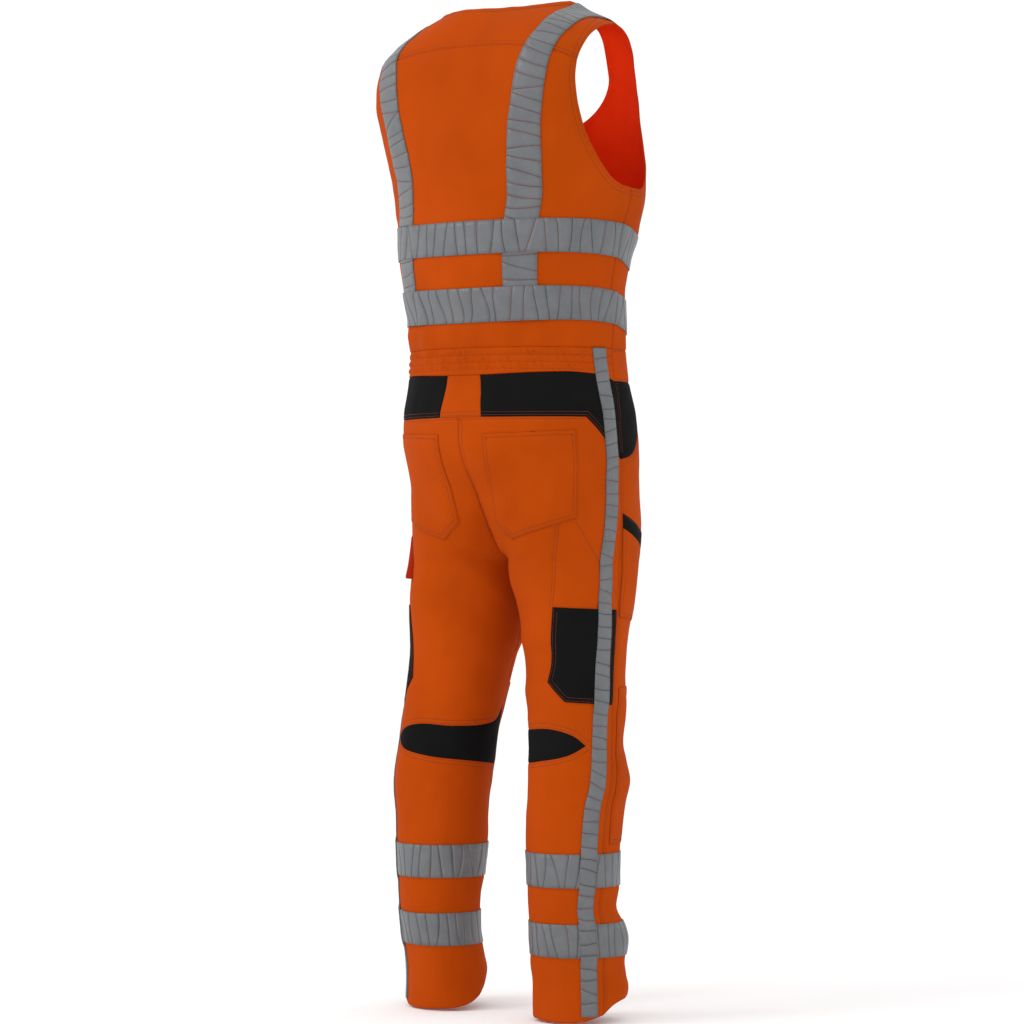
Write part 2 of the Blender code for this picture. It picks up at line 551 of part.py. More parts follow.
both_sides("brace", BRACE, silver, layers=PATCH)
band_over = [(way, low, high) for way, low, high in (BRACE_BACK, BRACE_FRONT)]
band_over += [(way, -high, -low) for way, low, high in band_over]
band_half = [(0.0, 0.0), (0.5, 0.0), (0.62, -BAND_FALL), (FRONT_EDGE - 0.004, -BAND_FALL)]
for name, bottom in zip(("body_band_lower", "body_band_upper"), BODY_BANDS):
    lower = [(around, bottom + fall) for around, fall in band_half]
    upper = [(around, height + WIDE_TAPE) for around, height in lower[::-1]]
    cloth(name, whole(lower + upper), silver, layers=PATCH, over=band_over, seam=0.0)
for name, bottom in zip(("leg_band_lower", "leg_band_upper"), LEG_BANDS):
    top = bottom + WIDE_TAPE
    both_sides(name, [(0.0, bottom), (1.0, bottom), (1.0, top), (0.0, top)], silver, layers=PATCH)
CROSS_MARGIN = 0.002                        # the side tape is up before it reaches what it crosses
crossed = [("height", bottom - CROSS_MARGIN, bottom + WIDE_TAPE + CROSS_MARGIN) for bottom in LEG_BANDS]
crossed.append(("height", RULER_BOTTOM - CROSS_MARGIN, RULER_TOP + CROSS_MARGIN))
both_sides("side_tape", strip(SIDE_TAPE_LINE, SIDE_TAPE), silver, layers=PATCH, over=crossed, seam=0.0)

# ---------------------------------------------------------------------------------------------
# Front zip: a tape under each front, the slider near the neck and its hinged pull tab
# ---------------------------------------------------------------------------------------------

ZIP_LAYER = (-CLOTH - LAYER_GAP - TAPE, -CLOTH - LAYER_GAP)
ZIP_TOP = 1.350
SLIDER_HEIGHT = 1.325
SLIDER = Vector((0.0080, 0.0030, 0.0120))   # width, depth, length
BRIDGE_WIDTH = 0.0024
BRIDGE_LENGTH = 0.0084
BRIDGE_RISE = 0.0030                        # height of the bridge above the slider
BRIDGE_BAR = 0.0010
TAB = Vector((0.0070, 0.0012, 0.0300))
TAB_EYE = Vector((0.0042, 0.0100))          # width and length of the hole that takes the bridge
TAB_END = 0.0012                            # bar of the tab that runs under the bridge
BRIDGE_POST = 0.0012                        # length of each foot of the bridge
TAB_PLAY = 0.0004                           # between the tab's bar and the bridge's upper foot
OVERLAP = 0.0003                            # how far joined shapes run into each other

both_sides("zip", [(0.974, FLY_BOTTOM + 0.003), (1.0, FLY_BOTTOM + 0.003), (1.0, ZIP_TOP), (0.974, ZIP_TOP)],
           zip_cloth, layers=ZIP_LAYER)


def box(name, low, high):
    """A box between two corners, in the slider's own frame."""
    mesh = bmesh.new()
    bmesh.ops.create_cube(mesh, size=1.0)
    size = Vector(high) - Vector(low)
    centre = (Vector(high) + Vector(low)) / 2
    for vertex in mesh.verts:
        vertex.co = Vector(a * b for a, b in zip(vertex.co, size)) + centre
    data = bpy.data.meshes.new(name)
    mesh.to_mesh(data)
    mesh.free()
    made = bpy.data.objects.new(name, data)
    collection.objects.link(made)
    return made


def combine(target, other, operation):
    change = target.modifiers.new(operation.lower(), "BOOLEAN")
    change.operation = operation
    change.object = other
    other.hide_render = True
    other.display_type = "WIRE"
    collection.objects.unlink(other)
    cutters.objects.link(other)


cutters = bpy.data.collections.new("cutters")
bpy.context.scene.collection.children.link(cutters)

zip_point = wrap(1, 1.0, SLIDER_HEIGHT, 0.0)
zip_slope = (wrap(1, 1.0, SLIDER_HEIGHT + SLIDER.z / 2, 0.0)
             - wrap(1, 1.0, SLIDER_HEIGHT - SLIDER.z / 2, 0.0))
zip_lean = math.atan2(-zip_slope.y, zip_slope.z)
slider_frame = (Matrix.Translation(Vector((0.0, zip_point.y, zip_point.z)) - SHOULDERS)
                @ Matrix.Rotation(zip_lean, 4, "X"))

# The slider's own frame: +Z runs up the zip and -Y points out of the cloth, whose face is y = 0.
slider_back = CLOTH
slider_front = slider_back - SLIDER.y
bridge_front = slider_front - BRIDGE_RISE
hinge_y = slider_front - (BRIDGE_RISE - BRIDGE_BAR) / 2
hinge_z = BRIDGE_LENGTH / 2 - BRIDGE_POST - TAB_END / 2 - TAB_PLAY

slider = box("zip_slider", (-SLIDER.x / 2, slider_front, -SLIDER.z / 2), (SLIDER.x / 2, slider_back, SLIDER.z / 2))
slider.matrix_world = slider_frame
slider.data.materials.append(metal)
for end in (-1, 1):
    post_low, post_high = sorted((end * BRIDGE_LENGTH / 2, end * (BRIDGE_LENGTH / 2 - BRIDGE_POST)))
    post = box("bridge_post", (-BRIDGE_WIDTH / 2, bridge_front + OVERLAP, post_low),
               (BRIDGE_WIDTH / 2, slider_front + OVERLAP, post_high))
    post.matrix_world = slider_frame
    combine(slider, post, "UNION")
bar = box("bridge_bar", (-BRIDGE_WIDTH / 2, bridge_front, -BRIDGE_LENGTH / 2),
          (BRIDGE_WIDTH / 2, bridge_front + BRIDGE_BAR, BRIDGE_LENGTH / 2))
bar.matrix_world = slider_frame
combine(slider, bar, "UNION")

hinge = bpy.data.objects.new("pull_tab_hinge", None)
collection.objects.link(hinge)
hinge.matrix_world = slider_frame @ Matrix.Translation((0.0, hinge_y, hinge_z))
tab = box("pull_tab", (-TAB.x / 2, -TAB.y / 2, TAB_END / 2 - TAB.z), (TAB.x / 2, TAB.y / 2, TAB_END / 2))
tab.data.materials.append(metal)
tab.parent = hinge
eye = box("tab_eye", (-TAB_EYE.x / 2, -TAB.y, -TAB_END / 2 - TAB_EYE.y), (TAB_EYE.x / 2, TAB.y, -TAB_END / 2))
eye.parent = hinge
combine(tab, eye, "DIFFERENCE")
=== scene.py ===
"""Looks of the hi-vis body trousers: sewn cloth, reflective film, stitching, zip, light and camera."""

import math
import random

import bpy
import numpy as np
from mathutils import Matrix, Vector
from mathutils.geometry import delaunay_2d_cdt
from mathutils.kdtree import KDTree


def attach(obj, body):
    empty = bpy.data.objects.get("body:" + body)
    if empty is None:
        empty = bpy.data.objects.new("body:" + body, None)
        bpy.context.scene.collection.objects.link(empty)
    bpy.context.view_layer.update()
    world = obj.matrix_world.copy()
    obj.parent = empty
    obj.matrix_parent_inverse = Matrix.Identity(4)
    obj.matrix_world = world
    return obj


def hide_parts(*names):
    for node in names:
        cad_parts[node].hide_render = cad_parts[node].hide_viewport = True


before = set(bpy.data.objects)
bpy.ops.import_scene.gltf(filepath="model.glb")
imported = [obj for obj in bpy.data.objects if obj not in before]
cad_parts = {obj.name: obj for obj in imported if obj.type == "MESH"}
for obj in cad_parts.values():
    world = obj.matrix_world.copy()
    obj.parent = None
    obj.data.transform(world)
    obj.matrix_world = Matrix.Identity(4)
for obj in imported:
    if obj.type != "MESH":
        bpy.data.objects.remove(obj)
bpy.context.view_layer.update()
chance = random.Random(5)

# ---------------------------------------------------------------------------------------------
# The filled-out form. All cloth lies on one shape with no wearer in it: two legs that join at the
# crotch into one body. A place on it is "around", the share from the centre back (0) past the
# side (0.5) to the centre front (1), below 0 on the wearer's right, and a height above the hem.
# ---------------------------------------------------------------------------------------------
SHOULDERS = np.array((0.0, -0.030, 1.511))
CHART_WIDTH = 0.52
CROTCH = 0.683
INSEAM_TOP = 0.58

# height, outer, inner, back, front, side_y, lean, square, out_turn, in_turn
RINGS = np.array((
    (0.000, 0.192, 0.064, 0.060, 0.066, 0.001, -0.16, 2.0, 15, 30),
    (0.050, 0.191, 0.063, 0.061, 0.066, 0.001, -0.16, 2.0, 15, 30),
    (0.080, 0.192, 0.061, 0.065, 0.064, 0.003, -0.16, 2.0, 15, 30),
    (0.110, 0.196, 0.064, 0.071, 0.059, 0.008, -0.16, 2.0, 15, 30),
    (0.140, 0.196, 0.065, 0.076, 0.055, 0.012, -0.12, 2.0, 15, 30),
    (0.170, 0.193, 0.063, 0.081, 0.050, 0.015, -0.06, 2.0, 15, 30),
    (0.200, 0.194, 0.060, 0.081, 0.054, 0.013, -0.02, 2.0, 15, 30),
    (0.260, 0.196, 0.055, 0.082, 0.060, 0.011, 0.00, 2.0, 15, 32),
    (0.320, 0.200, 0.054, 0.082, 0.065, 0.009, 0.00, 2.0, 14, 34),
    (0.350, 0.203, 0.053, 0.079, 0.071, 0.005, 0.00, 2.0, 12, 35),
    (0.410, 0.197, 0.048, 0.071, 0.073, -0.001, 0.06, 2.0, 9, 35),
    (0.475, 0.191, 0.038, 0.066, 0.088, -0.011, 0.02, 2.0, 7, 28),
    (0.535, 0.186, 0.029, 0.060, 0.100, -0.020, 0.08, 2.0, 6, 20),
    (0.565, 0.185, 0.020, 0.065, 0.109, -0.024, 0.08, 2.0, 5, 16),
    (0.625, 0.186, 0.010, 0.073, 0.127, -0.030, 0.06, 2.0, 5, 8),
    (0.655, 0.185, 0.0045, 0.077, 0.135, -0.033, 0.03, 2.0, 4, 4),
    (CROTCH, 0.184, 0.000, 0.080, 0.1425, -0.035, 0.00, 2.0, 4, 0),
    (0.700, 0.1835, -0.0138, 0.085, 0.152, -0.035, 0.00, 2.0, 3, 0),
    (0.730, 0.183, -0.0323, 0.091, 0.162, -0.036, 0.00, 2.0, 2, 0),
    (0.790, 0.183, -0.0784, 0.102, 0.171, -0.032, 0.00, 2.0, 1, 0),
    (0.840, 0.187, -0.153, 0.124, 0.180, -0.024, 0.00, 2.0, 0, 0),
    (0.865, 0.189, -0.178, 0.131, 0.178, -0.018, 0.00, 2.0, 0, 0),
    (0.898, 0.190, -0.190, 0.131, 0.1685, -0.015, 0.00, 2.0, 0, 0),
    (0.955, 0.1825, -0.1825, 0.122, 0.153, -0.013, 0.00, 2.0, 0, 0),
    (1.000, 0.177, -0.177, 0.126, 0.152, -0.013, 0.00, 2.0, 0, 0),
    (1.040, 0.179, -0.179, 0.129, 0.147, -0.012, 0.00, 2.0, 0, 0),
    (1.088, 0.179, -0.179, 0.148, 0.150, -0.008, 0.00, 2.0, 0, 0),
    (1.136, 0.186, -0.186, 0.154, 0.152, -0.010, 0.00, 2.0, 0, 0),
    (1.190, 0.197, -0.197, 0.151, 0.174, -0.017, 0.00, 2.0, 0, 0),
    (1.226, 0.207, -0.207, 0.146, 0.175, -0.020, 0.00, 2.0, 0, 0),
    (1.260, 0.212, -0.212, 0.148, 0.168, -0.018, 0.00, 2.0, 0, 0),
    (1.285, 0.214, -0.214, 0.150, 0.162, -0.014, 0.00, 2.1, 0, 0),
    (1.330, 0.214, -0.214, 0.154, 0.150, -0.010, 0.00, 2.4, 0, 0),
    (1.405, 0.214, -0.214, 0.149, 0.128, -0.019, 0.00, 3.2, 0, 0),
    (1.438, 0.212, -0.212, 0.142, 0.110, -0.032, 0.00, 3.2, 0, 0),
    (1.470, 0.198, -0.198, 0.126, 0.088, -0.044, 0.00, 2.8, 0, 0),
    (1.490, 0.174, -0.174, 0.113, 0.073, -0.048, 0.00, 2.5, 0, 0),
    (1.500, 0.154, -0.154, 0.104, 0.062, -0.042, 0.00, 2.4, 0, 0),
    (1.511, 0.1275, -0.1275, 0.094, 0.050, -0.030, 0.00, 2.2, 0, 0),
    (1.530, 0.098, -0.098, 0.078, 0.030, -0.008, 0.00, 2.0, 0, 0),
))
RING_HEIGHTS = RINGS[:, 0]
FORM_TOP = RING_HEIGHTS[-1]

# Ridges (depth above 0) and troughs of the hanging cloth, each centred at (around, height) and
# tilted from level towards the front: side (0 is both), around, height, length, tilt, width, depth.
# The first fifteen are the large folds that the solids have too, the rest the finer creases.
FOLDS = (
    (0, 0.72, 0.168, 0.20, 6, 0.020, -0.0040),
    (0, 0.72, 0.122, 0.20, -5, 0.020, 0.0035),
    (0, 0.76, 0.085, 0.16, 4, 0.018, -0.0030),
    (0, 0.70, 0.048, 0.22, 0, 0.022, 0.0045),
    (0, 0.70, 0.405, 0.16, 0, 0.028, -0.0035),
    (0, 0.70, 0.352, 0.18, 4, 0.030, 0.0040),
    (0, 0.24, 0.330, 0.12, 10, 0.024, -0.0025),
    (1, 0.97, 0.050, 0.16, 0, 0.022, 0.0060),
    (0, 0.17, 0.610, 0.16, 35, 0.026, -0.0040),
    (0, 0.16, 0.730, 0.15, 55, 0.024, -0.0030),
    (0, 0.86, 0.620, 0.14, -38, 0.026, -0.0035),
    (0, 0.25, 1.025, 0.30, 0, 0.020, 0.0030),
    (0, 0.10, 1.025, 0.20, 0, 0.020, 0.0025),
    (1, 0.38, 1.215, 0.12, 60, 0.026, -0.0030),
    (-1, 0.40, 1.205, 0.11, 55, 0.026, -0.0030),
    (0, 0.030, 1.017, 0.044, 86, 0.008, 0.0022),     # caught up by the waist elastic
    (-1, 0.075, 1.019, 0.050, 97, 0.009, -0.0020),
    (1, 0.090, 1.018, 0.042, 84, 0.008, -0.0020),
    (0, 0.135, 1.016, 0.056, 92, 0.009, 0.0024),
    (-1, 0.190, 1.020, 0.048, 80, 0.008, -0.0021),
    (1, 0.180, 1.017, 0.052, 101, 0.009, -0.0021),
    (-1, 0.238, 1.017, 0.060, 99, 0.010, 0.0024),
    (1, 0.246, 1.019, 0.046, 85, 0.009, 0.0022),
    (0, 0.300, 1.018, 0.048, 93, 0.008, -0.0019),
    (-1, 0.352, 1.015, 0.050, 78, 0.009, 0.0019),
    (0, 0.415, 1.018, 0.044, 96, 0.008, -0.0010),
    (0, 0.600, 1.016, 0.050, 88, 0.009, 0.0010),
    (0, 0.760, 1.018, 0.050, 94, 0.009, -0.0010),
    (-1, 0.468, 1.108, 0.075, 88, 0.005, -0.0022),   # nips beside the bands at the side seam
    (1, 0.462, 1.104, 0.070, 92, 0.006, -0.0018),
    (0, 0.530, 1.102, 0.080, 84, 0.008, 0.0012),
    (-1, 0.425, 1.070, 0.120, 70, 0.010, 0.0010),
    (0, 0.355, 1.232, 0.090, 48, 0.010, 0.0014),     # below the armholes
    (-1, 0.445, 1.185, 0.080, 66, 0.009, -0.0014),
    (1, 0.430, 1.175, 0.085, 72, 0.010, -0.0012),
    (0, 0.640, 1.215, 0.110, -52, 0.012, -0.0018),
    (0, 0.700, 1.160, 0.100, -64, 0.012, 0.0014),
    (0, 0.270, 1.405, 0.070, -40, 0.014, -0.0014),   # hollow of the shoulder blade
    (0, 0.060, 1.380, 0.160, 84, 0.022, -0.0016),
    (0, 0.040, 0.855, 0.090, 80, 0.012, -0.0014),    # seat, drawn to the crotch
    (0, 0.075, 0.790, 0.130, 68, 0.014, -0.0012),
    (0, 0.110, 0.745, 0.120, 60, 0.013, 0.0020),
    (0, 0.085, 0.690, 0.110, 46, 0.013, -0.0012),
    (0, 0.150, 0.672, 0.120, 40, 0.013, 0.0020),
    (0, 0.070, 0.632, 0.100, 30, 0.011, 0.0016),
    (0, 0.200, 0.655, 0.100, 48, 0.014, -0.0012),
    (0, 0.930, 0.735, 0.120, -62, 0.012, -0.0022),
    (0, 0.890, 0.690, 0.120, -48, 0.012, 0.0020),
    (0, 0.940, 0.640, 0.090, -30, 0.011, -0.0018),
    (0, 0.820, 0.700, 0.130, -50, 0.016, -0.0014),
    (0, 0.180, 0.555, 0.150, 24, 0.018, 0.0018),     # backs of the thighs
    (-1, 0.080, 0.540, 0.120, 16, 0.014, -0.0016),
    (1, 0.100, 0.522, 0.130, 20, 0.015, -0.0016),
    (0, 0.330, 0.560, 0.110, 62, 0.016, -0.0010),
    (-1, 0.120, 0.486, 0.120, 8, 0.010, 0.0014),     # behind the knees
    (1, 0.150, 0.480, 0.130, 12, 0.011, 0.0014),
    (0, 0.230, 0.455, 0.110, -8, 0.010, -0.0013),
    (0, 0.100, 0.352, 0.130, 6, 0.012, -0.0014),
    (-1, 0.300, 0.352, 0.100, 22, 0.012, 0.0012),
    (0, 0.560, 0.445, 0.110, -26, 0.012, -0.0018),   # sides and fronts of the knees
    (0, 0.600, 0.385, 0.120, 14, 0.012, 0.0020),
    (0, 0.620, 0.330, 0.110, 28, 0.012, -0.0016),
    (0, 0.800, 0.430, 0.140, 8, 0.014, 0.0016),
    (0, 0.800, 0.318, 0.130, -8, 0.014, -0.0016),
    (-1, 0.150, 0.170, 0.120, -10, 0.014, -0.0012),  # calves and the break over the feet
    (1, 0.180, 0.175, 0.130, 12, 0.014, -0.0012),
    (0, 0.560, 0.160, 0.090, -30, 0.010, -0.0020),
    (0, 0.590, 0.108, 0.100, 24, 0.010, 0.0020),
    (0, 0.640, 0.066, 0.100, -18, 0.009, -0.0020),
    (0, 0.860, 0.140, 0.120, 10, 0.010, -0.0016),
    (0, 0.900, 0.066, 0.110, -12, 0.009, 0.0016),
    (0, 0.060, 0.060, 0.080, 72, 0.014, 0.0014),
    (-1, 0.300, 0.055, 0.090, 84, 0.016, -0.0014),
    (1, 0.260, 0.060, 0.090, 94, 0.016, 0.0014),
)


def curve_slopes(values):
    """Slopes for a smooth curve through the values of one ring column that never overshoots."""
    gaps = np.diff(RING_HEIGHTS)
    rises = np.diff(values) / gaps
    slopes = [rises[0]]
    for before, after, gap_before, gap_after in zip(rises, rises[1:], gaps, gaps[1:]):
        if before * after <= 0:
            slopes.append(0.0)
            continue
        weight_before = 2 * gap_after + gap_before
        weight_after = gap_after + 2 * gap_before
        slopes.append((weight_before + weight_after) / (weight_before / before + weight_after / after))
    return slopes + [rises[-1]]


RING_SLOPES = np.array([curve_slopes(RINGS[:, column]) for column in range(1, RINGS.shape[1])]).T


def rings_at(height):
    height = np.clip(height, 0.0, FORM_TOP)
    index = np.clip(np.searchsorted(RING_HEIGHTS, height, side="right") - 1, 0, len(RINGS) - 2)
    step = (RING_HEIGHTS[index + 1] - RING_HEIGHTS[index])[:, None]
    t = (height - RING_HEIGHTS[index])[:, None] / step
    low, high = RINGS[index, 1:], RINGS[index + 1, 1:]
    values = (1 + 2 * t) * (1 - t) ** 2 * low + t * t * (3 - 2 * t) * high
    values += t * (1 - t) ** 2 * step * RING_SLOPES[index] + t * t * (t - 1) * step * RING_SLOPES[index + 1]
    return values.T


def smooth_points(side, around, height):
    """Points of the form without folds; around counts up from the centre back on either side."""
    outer, inner, back, front, side_y, lean, square, out_turn, in_turn = rings_at(height)
    centre = (outer + inner) / 2
    half = (outer - inner) / 2
    cut_off = np.arcsin(np.clip(centre / half, 0.0, 1.0))
    start = -cut_off - np.radians(in_turn)
    middle = np.pi / 2 - np.radians(out_turn)
    end = np.pi + cut_off - np.radians(in_turn)
    behind_side = start + (middle - start) * around * 2
    before_side = middle + (end - middle) * (around * 2 - 1)
    angle = np.where(around < 0.5, behind_side, before_side)
    behind = np.cos(angle) > 0
    reach = np.where(behind, back - side_y, front + side_y)
    power = np.where(behind, 2 / square, 1.0)
    y = reach * np.sign(np.cos(angle)) * np.abs(np.cos(angle)) ** power
    x = centre + half * np.sign(np.sin(angle)) * np.abs(np.sin(angle)) ** power + lean * y
    return np.stack((side * x, side_y + y, height), axis=1)


def fold_lift(side, around, height):
    lift = np.zeros(len(around))
    below = height < INSEAM_TOP
    for fold_side, place, level, length, tilt, width, depth in FOLDS:
        across = around - place
        across = np.where(below, across - np.round(across), across) * CHART_WIDTH
        up = height - level
        along = across * math.cos(math.radians(tilt)) + up * math.sin(math.radians(tilt))
        aside = up * math.cos(math.radians(tilt)) - across * math.sin(math.radians(tilt))
        end = np.clip(1 - (2 * along / length) ** 2, 0.0, None)
        lift += np.where(side == -fold_side, 0.0, depth * end * np.exp(-(aside / width) ** 2))
    return lift


def hang_waves(count, shortest, longest, stretch):
    """Level waves of random direction and phase; stretch makes them run up and down the cloth."""
    waves = []
    for _ in range(count):
        direction = Vector((chance.gauss(0, 1), chance.gauss(0, 1), chance.gauss(0, 1) / stretch))
        wave = direction.normalized() * 2 * math.pi / chance.uniform(shortest, longest)
        waves.append((*wave, chance.uniform(0, 2 * math.pi)))
    return np.array(waves)


BROAD_HANG = (0.0011, hang_waves(14, 0.085, 0.17, 2.2))
SMALL_HANG = (0.00022, hang_waves(16, 0.024, 0.050, 1.5))


def uneven_hang(points):
    """Slight unevenness that all layers of cloth share."""
    lift = np.zeros(len(points))
    for size, waves in (BROAD_HANG, SMALL_HANG):
        phase = points @ waves[:, :3].T + waves[:, 3]
        lift += size * np.sin(phase).sum(axis=1) / math.sqrt(len(waves) / 2)
    return lift


def place_on_form(side, around, height, lift, relief=1.0):
    """Places of the cloth in the row frame, lifted off the folded form."""
    step = 0.004
    point = smooth_points(side, around, height)
    across = smooth_points(side, around + step, height) - smooth_points(side, around - step, height)
    up = smooth_points(side, around, np.minimum(height + step, FORM_TOP))
    up = up - smooth_points(side, around, np.maximum(height - step, 0.0))
    normal = np.cross(up, across) * side[:, None]
    normal /= np.linalg.norm(normal, axis=1)[:, None]
    total = lift + relief * (fold_lift(side, around, height) + uneven_hang(point))
    return point + normal * total[:, None] - SHOULDERS


# ---------------------------------------------------------------------------------------------
# Orange twill: the cloth of most of the garment, a fluorescent polyester and cotton twill of
# about 290 g. It is cut in flat pieces that are joined by lapped seams, so each piece is meshed
# from its flat outline and laid on the form, with its edges and stitch lines drawn in.
# ---------------------------------------------------------------------------------------------
CLOTH = 0.0012
FILM = 0.0010
LAYER_GAP = 0.0003
SEAM_GAP = 0.00003                         # between two pieces that meet on the middle plane
WAIST_SEAM = 1.0015
BAND_BOTTOM = 0.961
BAND_BOTTOM_FRONT = 0.953
YOKE_BOTTOM = 0.898
HIP_POINT = 0.836
FLY_BOTTOM = 0.862
FRONT_EDGE = 0.990
SMOOTH_TURN = 35                           # an outline turns a real corner above this many degrees
LINE_DIP = 0.00075                         # how far a stitch line is pulled in
LINE_SPREAD = 0.0012
SEAM_SPREAD = 0.0018                       # how far a seam's hollow reaches into the cloth
THREAD_LENGTH = 0.0027
THREAD_PITCH = 0.0034
THREAD_WIDTH = 0.0008


def to_linear(code):
    """The linear colour of a #rrggbb code, as a shader takes it."""
    shares = [int(code[i:i + 2], 16) / 255 for i in (1, 3, 5)]
    return tuple(c / 12.92 if c <= 0.04045 else ((c + 0.055) / 1.055) ** 2.4 for c in shares)


def add_node(tree, kind, inputs=(), **settings):
    """A shader node; an input is a value, or the output socket of another node."""
    node = tree.nodes.new("ShaderNode" + kind)
    for name, value in settings.items():
        setattr(node, name, value)
    for name, value in dict(inputs).items():
        if isinstance(value, bpy.types.NodeSocket):
            tree.links.new(value, node.inputs[name])
        else:
            node.inputs[name].default_value = value
    return node


def start_finish(name, roughness, metallic=0.0):
    """A material with its shader's even values set; returns it with its tree and shader."""
    finish = bpy.data.materials.new(name)
    finish.use_nodes = True
    shader = finish.node_tree.nodes["Principled BSDF"]
    shader.inputs["Roughness"].default_value = roughness
    shader.inputs["Metallic"].default_value = metallic
    return finish, finish.node_tree, shader


WAVE_TO_PITCH = 3.18                       # bands of a wave texture in one unit at a scale of 1


def colour_ramp(tree, factor, stops):
    ramp = add_node(tree, "ValToRGB", {"Fac": factor})
    while len(ramp.color_ramp.elements) < len(stops):
        ramp.color_ramp.elements.new(0.5)
    for element, (place, code) in zip(ramp.color_ramp.elements, stops):
        element.position = place
        element.color = (*to_linear(code), 1.0)
    return ramp.outputs["Color"]


def twill_finish(name, deep, middle, light):
    """Twill: fine diagonal ribs, uneven yarn colour and a soft bloom of broader shade.

    Real ribs lie 0.5 mm apart; they are drawn 1.3 mm apart, so that they show from a step away.
    """
    rib_pitch = 0.0013
    rib_depth = 0.0002
    finish, tree, shader = start_finish(name, roughness=0.86)
    shader.inputs["Specular IOR Level"].default_value = 0.06
    chart = add_node(tree, "UVMap", uv_map="chart").outputs["UV"]
    place = add_node(tree, "TexCoord").outputs["Object"]
    turned = add_node(tree, "Mapping", {"Vector": chart, "Rotation": (0.0, 0.0, math.radians(63))})
    ribs = add_node(tree, "TexWave", {
        "Vector": turned.outputs["Vector"], "Scale": 1 / rib_pitch / WAVE_TO_PITCH,
        "Distortion": 0.6, "Detail": 1.0, "Detail Scale": 3.0})
    yarns = add_node(tree, "TexNoise", {"Vector": place, "Scale": 620.0, "Detail": 2.0})
    bloom = add_node(tree, "TexNoise", {"Vector": place, "Scale": 7.0, "Detail": 3.0, "Roughness": 0.55})
    slub = add_node(tree, "Math", {0: ribs.outputs["Fac"], 1: yarns.outputs["Fac"]}, operation="ADD")
    fine = add_node(tree, "Math", {0: slub.outputs["Value"], 1: 0.16}, operation="MULTIPLY")
    mixed = add_node(tree, "Math", {0: bloom.outputs["Fac"], 1: fine.outputs["Value"]}, operation="ADD")
    spread = add_node(tree, "MapRange", {"Value": mixed.outputs["Value"], "From Min": 0.42, "From Max": 0.90})
    shade = colour_ramp(tree, spread.outputs["Result"], ((0.0, deep), (0.5, middle), (1.0, light)))
    tree.links.new(shade, shader.inputs["Base Color"])
    bump = add_node(tree, "Bump", {"Height": slub.outputs["Value"], "Strength": 0.35, "Distance": rib_depth})
    tree.links.new(bump.outputs["Normal"], shader.inputs["Normal"])
    return finish


orange_twill = twill_finish("orange_twill_woven", "#a63d01", "#ae4102", "#b54404")
# The wrong side is painted redder than the face: painted shade, the look of the inner face where it lies in
# shade.
orange_inside_painted_shade = twill_finish("orange_twill_wrong_side_painted_shade", "#e43406", "#ec3a06", "#f44008")


def thread_finish(name, code):
    """Spun polyester sewing thread, with the twist of its yarn."""
    finish, tree, shader = start_finish(name, roughness=0.6)
    place = add_node(tree, "TexCoord").outputs["Object"]
    twist = add_node(tree, "TexNoise", {"Vector": place, "Scale": 1500.0, "Detail": 1.0})
    darker = "#" + "".join(f"{int(int(code[i:i + 2], 16) * 0.78):02x}" for i in (1, 3, 5))
    shade = colour_ramp(tree, twist.outputs["Fac"], ((0.35, darker), (0.65, code)))
    tree.links.new(shade, shader.inputs["Base Color"])
    bump = add_node(tree, "Bump", {"Height": twist.outputs["Fac"], "Strength": 0.5, "Distance": 0.0001})
    tree.links.new(bump.outputs["Normal"], shader.inputs["Normal"])
    return finish


# The orange thread's dark brown is partly the thread's own colour and partly painted shade of the stitch
# grooves.
orange_thread_and_painted_groove_shade = thread_finish("orange_sewing_thread_and_painted_groove_shade", "#642806")
rust_thread = thread_finish("rust_sewing_thread", "#84351a")


def to_chart(outline):
    return np.array([(around * CHART_WIDTH, height) for around, height in outline])


def rounded(points, spacing, closed=True):
    """Even points along an outline, with a smooth curve through all but its real corners."""
    count = len(points)
    ahead = [points[(i + 1) % count] - points[i] for i in range(count)]
    lengths = [np.linalg.norm(edge) for edge in ahead]
    ahead = [edge / length if length > 0 else edge for edge, length in zip(ahead, lengths)]
    leaving, arriving = [], []
    for i in range(count):
        before, after = ahead[i - 1], ahead[i]
        is_end = not closed and i in (0, count - 1)
        turn = math.degrees(math.acos(max(-1.0, min(1.0, float(before @ after)))))
        if turn > SMOOTH_TURN or is_end:
            arriving.append(before)
            leaving.append(after)
        else:
            both = (before + after) / np.linalg.norm(before + after)
            arriving.append(both)
            leaving.append(both)
    line = []
    for i in range(count if closed else count - 1):
        start, end = points[i], points[(i + 1) % count]
        steps = max(1, math.ceil(lengths[i] / spacing - 0.01))
        t = (np.arange(steps) / steps)[:, None]
        line.append((1 + 2 * t) * (1 - t) ** 2 * start + t * t * (3 - 2 * t) * end
                    + t * (1 - t) ** 2 * lengths[i] * leaving[i]
                    + t * t * (t - 1) * lengths[i] * arriving[(i + 1) % count])
    if not closed:
        line.append(points[-1:])
    return np.concatenate(line)


def travel(line):
    """Distance from the start of a line to each of its points."""
    return np.concatenate(([0.0], np.cumsum(np.linalg.norm(np.diff(line, axis=0), axis=1))))


def distance_to(places, line, closed=False):
    """Distance on the flat of each place to a line of points."""
    starts = line if closed else line[:-1]
    runs = (np.roll(line, -1, axis=0) - line)[:len(starts)]
    nearest = np.full(len(places), np.inf)
    for first in range(0, len(places), 4000):
        some = places[first:first + 4000, None, :] - starts[None]
        share = np.clip((some * runs).sum(2) / np.maximum((runs ** 2).sum(1), 1e-12), 0, 1)
        nearest[first:first + 4000] = np.sqrt(((some - share[..., None] * runs) ** 2).sum(2).min(1))
    return nearest


